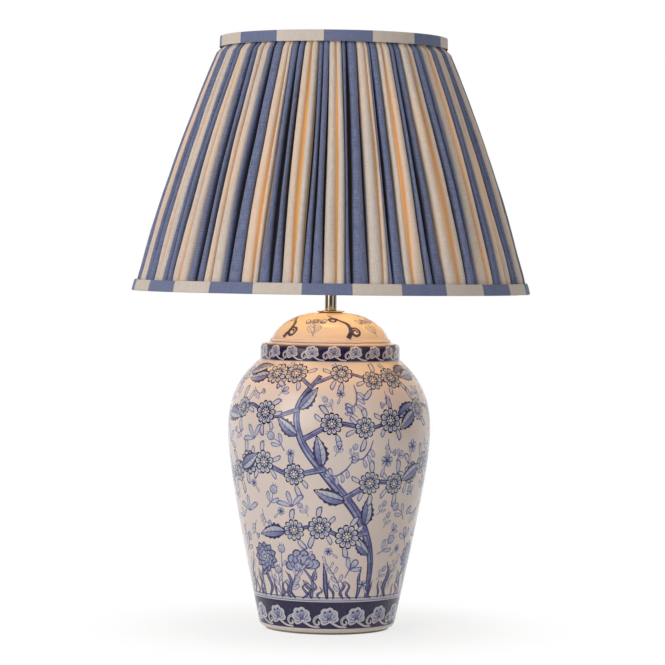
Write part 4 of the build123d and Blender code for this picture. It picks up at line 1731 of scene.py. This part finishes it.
def pleat_tree():
    """The gathered cloth: each stripe is two ridges with a hollow between them."""
    tree, given = new_tree("gathered_cloth", CLOTH_SIZES, CLOTH_COUNTS)
    grid = node_of(tree, "GeometryNodeMeshGrid", {
        "Size X": 1.0,
        "Size Y": 1.0,
        "Vertices X": given["Columns"],
        "Vertices Y": given["Rows"],
    })
    x, y, _ = parts_of(tree, tree.nodes.new("GeometryNodeInputPosition").outputs[0])
    across = (x + 0.5).within()
    up = (y + 0.5).within()

    stripes = given["Stripes"]
    count = across * stripes + 0.00001
    number = count.whole()
    stripe = number.left_over(stripes)
    share = count.part()
    turn = across * (2 * math.pi)
    drift = vector_of(tree, turn.cosine() * 3.8, turn.sine() * 3.8, up * 0.8)
    ripple = vector_of(tree, turn.cosine() * 11, turn.sine() * 11, up * 2.2)
    wander = noise_of(tree, drift, 1.0, 1.0) - 0.5
    small_wander = noise_of(tree, ripple, 1.0, 1.0) - 0.5
    seed = given["Seed"]
    cream = stripe.left_over(2)
    blue = 1 - cream

    def drawn(low, high, row, of=stripe):
        """A random number for each stripe, from a row of its own."""
        return random_of(tree, of, low, high, seed + row if row else seed)

    def eased(part):
        """A share that grows fastest in the middle, where the cloth faces outwards."""
        return part - (part * (2 * math.pi)).sine() * (0.86 / (2 * math.pi))

    def crest(part):
        """Height of a rounded ridge over its own width."""
        return (part * math.pi).sine().most(0.0) ** 0.7

    # The hollow between a stripe's ridges: pinched at both edges of the shade
    pinch = (up * math.pi).sine().most(0.0) * (1.2 - up * 0.55)
    breadth = drawn(-0.03, 0.14, 0).most(0.0) + blue * 0.03
    wide = (breadth + small_wander * 0.12).most(0.01) * pinch + 0.01
    lean = drawn(-1.0, 1.0, 1) * (0.16 + blue * 0.1)
    middle = lean + small_wander * 0.14 + 0.5
    wide = wide.least(middle - 0.05).least(0.95 - middle)

    # Blue stripes also fall away beside their neighbours
    edge_cloth = blue * EDGE_SHARE
    inner_share = ((share - edge_cloth) / (1 - edge_cloth * 2)).within()
    first = (inner_share / RIDGE_SHARE).within()
    floor = ((inner_share - RIDGE_SHARE) / FLOOR_SHARE).within()
    second = ((inner_share - (RIDGE_SHARE + FLOOR_SHARE)) / RIDGE_SHARE).within()
    gap_before = drawn(-0.04, 0.18, 5).most(0.0) * pinch * blue
    gap_after = drawn(-0.04, 0.18, 6).most(0.0) * pinch * blue
    in_gap_before = (share / EDGE_SHARE).within()
    in_gap_after = ((share - (1 - EDGE_SHARE)) / EDGE_SHARE).within()
    spread = (middle - wide) * eased(first) + wide * 2 * floor
    spread = spread + (1 - middle - wide) * eased(second)
    spread = spread * (1 - gap_before - gap_after) + gap_before * in_gap_before
    spread = spread + gap_after * in_gap_after
    hollow = 1 - (crest(first) * drawn(0.72, 1.0, 2) + crest(second) * drawn(0.72, 1.0, 3))

    # How far out the cloth stands: flat against the wires at its two edges
    mid_depth = given["Middle Depth"] * 4 * up * (1 - up)
    low_depth = given["Bottom Depth"] * (1 - up) * (1 - 2 * up)
    depth = mid_depth + (low_depth - given["Top Depth"] * up * (1 - 2 * up))
    bow = given["Bow"] * 4 * up * (1 - up)
    ridge = given["Bottom Radius"] + (given["Top Radius"] - given["Bottom Radius"]) * up + bow
    puff = (up / 0.05).within().least(((1 - up) / 0.05).within())
    tucked = ((up - given["Top Band Edge"]) / 0.02 + 1).within()
    ridge = ridge - (ridge - given["Top Band Radius"]).most(0.0) * tucked
    lumps = (noise_of(tree, ripple, 1.7, 2.0) - 0.5) * 0.0035
    radius = ridge - depth * hollow + (lumps - 0.0006) * puff - (1 - puff) * 0.0012

    # Where round the shade: no stripe's edge stands quite where it should
    edge = drawn(-0.17, 0.17, 4) + 0.015 - cream * 0.03
    next_edge = drawn(-0.17, 0.17, 4, (stripe + 1).left_over(stripes))
    uneven = edge + (next_edge - 0.015 + cream * 0.03 - edge) * share
    turns = (number + spread + uneven + wander * 0.75 * puff) / stripes
    angle = turns * (2 * math.pi) + given["First Turn"]
    height = given["Bottom Height"] + given["Cloth Height"] * up
    place = vector_of(tree, radius * angle.sine() * -1, radius * angle.cosine(), height)

    # What the cloth's material reads, kept on the flat grid before it is gathered
    along = across * stripes * given["Stripe Width"]
    flat = vector_of(tree, along, up * given["Cloth Height"], 0.0)
    inner = (1 - ((share - 0.5).size() * 3.2).within() ** 3).most(blue)
    mesh = kept_on_mesh(tree, grid.outputs["Mesh"], "cloth", "FLOAT2", "CORNER", flat)
    # The hollow's depth goes to the material, which turns it into painted shade and painted glow
    mesh = kept_on_mesh(tree, mesh, "hollow", "FLOAT", "POINT", hollow.within() * inner)
    gathered = node_of(tree, "GeometryNodeSetPosition", {"Geometry": mesh, "Position": place})
    weld = {"Geometry": gathered.outputs[0], "Distance": 0.000005}
    welded = node_of(tree, "GeometryNodeMergeByDistance", weld)
    smooth = node_of(tree, "GeometryNodeSetShadeSmooth", {"Geometry": welded.outputs[0]})
    end_tree(tree, smooth.outputs[0], "striped_cloth")
    return tree


def make_cloth():
    """The gathered, striped cloth over the frame."""
    cloth = grown("gathered_cloth", pleat_tree(), {
        "Bottom Radius": RIDGE_BOTTOM * MM,
        "Top Radius": RIDGE_TOP * MM,
        "Bow": SHADE_BOW * MM,
        "Bottom Height": CLOTH_BASE * MM,
        "Cloth Height": (CLOTH_TOP - CLOTH_BASE) * MM,
        "Bottom Depth": PLEAT_DEPTH_BOTTOM * MM,
        "Middle Depth": PLEAT_DEPTH_MIDDLE * MM,
        "Top Depth": PLEAT_DEPTH_TOP * MM,
        "First Turn": -math.radians(CLOTH_TURN),
        "Stripe Width": STRIPE * MM,
        "Top Band Radius": (BINDING_TOP_RADIUS - 0.6) * MM,
        "Top Band Edge": 1 - BINDING_HEIGHT / (CLOTH_TOP - CLOTH_BASE),
        "Stripes": STRIPES,
        "Columns": STRIPES * COLUMNS_IN_STRIPE + 1,
        "Rows": CLOTH_ROWS,
        "Seed": 4,
    })
    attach(cloth, "shade")
    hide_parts("pleated_cloth")


def band_sheet(name, outline, material, start, segments=360):
    """A folded band of striped cloth from an open outline of (radius, height)."""
    rng = random.Random(3)
    # The band waves in and out a little, by waves of these numbers round it
    sway = [(rng.uniform(0, 6.28), rng.choice((3, 5, 7, 11, 60))) for _ in range(5)]
    girth = max(point[0] for point in outline)
    lengths = [0.0]
    for before, after in zip(outline, outline[1:]):
        lengths.append(lengths[-1] + (Vector(after) - Vector(before)).length)
    verts, faces, uvs = [], [], []
    for turn in range(segments + 1):
        angle = 2 * math.pi * turn / segments + math.pi
        bulge = sum(math.sin(angle * waves + phase) for phase, waves in sway) * 0.06
        for radius, height in outline:
            verts.append(turned((radius + bulge) * MM, height * MM, angle))
    rows = len(outline)
    for turn in range(segments):
        for row in range(rows - 1):
            first = turn * rows + row
            faces.append((first, first + rows, first + rows + 1, first + 1))
            for right, rise in ((0, 0), (1, 0), (1, 1), (0, 1)):
                degrees = 360 * (turn + right) / segments - 180
                # 21 stripes further on, so that no part of the band lies below zero
                along = (math.radians(degrees - start) * girth / STRIPE + 21) * STRIPE
                uvs.append((along * MM, lengths[row + rise] * MM))
    mesh = bpy.data.meshes.new(name)
    mesh.from_pydata(verts, [], faces)
    layer = mesh.uv_layers.new(name="cloth")
    layer.data.foreach_set("uv", [value for uv in uvs for value in uv])
    shape = bmesh.new()
    shape.from_mesh(mesh)
    bmesh.ops.remove_doubles(shape, verts=shape.verts, dist=MERGE)
    bmesh.ops.recalc_face_normals(shape, faces=shape.faces)
    shape.to_mesh(mesh)
    shape.free()
    mesh.shade_smooth()
    return link_mesh(name, mesh, material)


def thickened(piece, thickness):
    """A sheet given its thickness, with the modifier applied."""
    modifier = piece.modifiers.new("thickness", "SOLIDIFY")
    modifier.thickness = thickness * MM
    modifier.offset = -1
    modifier.use_even_offset = True
    settle(piece)


def binding_outline(node, lower):
    """The folded band's line: up the outside, over the edge and up the inside."""
    low, high = heights(node)
    lining_low, lining_high = heights("shade_lining")
    lining_bottom = radius_of("shade_lining")

    def lining(height):
        share = (height - lining_low) / (lining_high - lining_low)
        return lining_bottom + (LINING_TOP_RADIUS - lining_bottom) * share

    if lower:
        edge, way, outer = low, 1, radius_of(node)
        face = [
            (ridge_radius(edge + rise) + (1.6 if rise < 11 else 1.1), edge + rise)
            for rise in (BINDING_HEIGHT, 11.8, 9, 6, 3, 1.2)
        ]
        turn_over = [(outer - 0.5, edge + 0.35), (outer - 1.4, edge + 0.05), (outer - 3.5, edge)]
    else:
        edge, way, outer = high, -1, BINDING_TOP_RADIUS
        face = [
            (outer + 0.5 * (1 - rise / BINDING_HEIGHT), edge - BINDING_HEIGHT + rise)
            for rise in (0, 0.7, 3.5, 6.5, 9.5, 11.3)
        ]
        turn_over = [(outer - 0.2, edge - 0.35), (outer - 1.1, edge - 0.05), (outer - 3, edge)]
    inside_edge = lining(edge) - 1.6
    inside = [(inside_edge + 2.5, edge), (inside_edge + 0.5, edge + way * 0.2)]
    for rise, gap in ((1.2, 1.9), (4, 1.9), (BINDING_INSIDE, 1.7)):
        inside.append((lining(edge + way * rise) - gap, edge + way * rise))
    return face + turn_over + inside


def make_bindings():
    """The striped bands over the cloth's two edges."""
    # The last number is the angle in degrees at which a stripe begins
    for name, node, lower, start in (
        ("bottom_band", "bottom_binding", True, 5.9),
        ("top_band", "top_binding", False, 19.2),
    ):
        outline = binding_outline(node, lower)
        piece = band_sheet(name, outline, MATERIALS["binding_cloth"], start)
        thickened(piece, 0.5)
        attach(piece, "shade")
        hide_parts(node)


def make_lining():
    """The plain lining, drawn tight inside the frame."""
    low, high = heights("shade_lining")
    bottom = radius_of("shade_lining")
    segments, rows, struts, sag = 192, 24, 8, 1.6
    verts, faces = [], []
    for turn in range(segments):
        angle = 2 * math.pi * turn / segments
        between_struts = 0.5 - 0.5 * math.cos(struts * angle)
        for row in range(rows + 1):
            share = row / rows
            radius = bottom + (LINING_TOP_RADIUS - bottom) * share
            drop = sag * math.sin(math.pi * share) * between_struts
            verts.append(turned((radius - drop) * MM, (low + (high - low) * share) * MM, angle))
    across = rows + 1
    for turn in range(segments):
        here, after = turn * across, (turn + 1) % segments * across
        for row in range(rows):
            faces.append((here + row, after + row, after + row + 1, here + row + 1))
    mesh = bpy.data.meshes.new("lining_sheet")
    mesh.from_pydata(verts, [], faces)
    mesh.shade_smooth()
    piece = link_mesh("lining_sheet", mesh, MATERIALS["lining_cloth"])
    thickened(piece, 0.4)
    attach(piece, "shade")
    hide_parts("shade_lining")


# --- Pieces that keep their CAD shape -------------------------------------------------

def dress_cad_nodes():
    """Gives every carried-over node the material of its slot."""
    slots = {part["node"]: part["material_slot"] for part in frame["record"]["subparts"]}
    swaps = {"jar_glaze": "painted_glaze", "lid_glaze": "painted_glaze"}
    for name, node in frame["nodes"].items():
        slot = slots[name]
        material = MATERIALS[swaps.get(slot, slot)]
        node.data.materials.clear()
        node.data.materials.append(material)


# --- Floor ----------------------------------------------------------------------------

def make_floor():
    """A pale floor that fades into the white surround, and keeps the lamp's shadow."""
    mesh = bpy.data.meshes.new("floor")
    corners = [
        (x * FLOOR_HALF, y * FLOOR_HALF, FLOOR_LEVEL)
        for x, y in ((-1, -1), (1, -1), (1, 1), (-1, 1))
    ]
    mesh.from_pydata(corners, [], [(0, 1, 2, 3)])
    material, tree, shader = new_material("floor", Roughness=0.9, Specular_IOR_Level=0.1)
    wire(tree, shader, {"Base Color": (0.86, 0.86, 0.86, 1)})
    white = node_of(tree, "ShaderNodeEmission", {"Strength": 1.0})
    x, y, _ = parts_of(tree, object_point(tree))
    away = (x * x + y * y) ** 0.5
    path = tree.nodes.new("ShaderNodeLightPath").outputs
    seen = Sum(tree, path["Is Camera Ray"]).most(path["Is Glossy Ray"])
    seen = seen.most(path["Is Transmission Ray"])
    share = (away.step(*FLOOR_FADE) * 0.25 + 0.75) * seen
    inputs = {0: share, 1: shader.outputs[0], 2: white.outputs[0]}
    mix = node_of(tree, "ShaderNodeMixShader", inputs)
    wire(tree, tree.nodes["Material Output"], {"Surface": mix.outputs[0]})
    floor = link_mesh("floor", mesh, material)


# --- The scene ------------------------------------------------------------------------

add_camera()
add_world()
add_area_light("key", place=(-1.6, -2.2, 1.5), aim=(0, 0, 0.35), size=(2.2, 2.4), power=32)
add_area_light("fill", place=(2.0, -1.6, 1.1), aim=(0, 0, 0.3), size=(1.4, 2.0), power=1.5)
make_materials()
dress_cad_nodes()
make_jar()
make_lid()
make_stem()
make_holder()
make_bulb()
make_foot()
make_cloth()
make_bindings()
make_lining()
make_floor()

view = bpy.context.scene.view_settings
view.view_transform = "Standard"
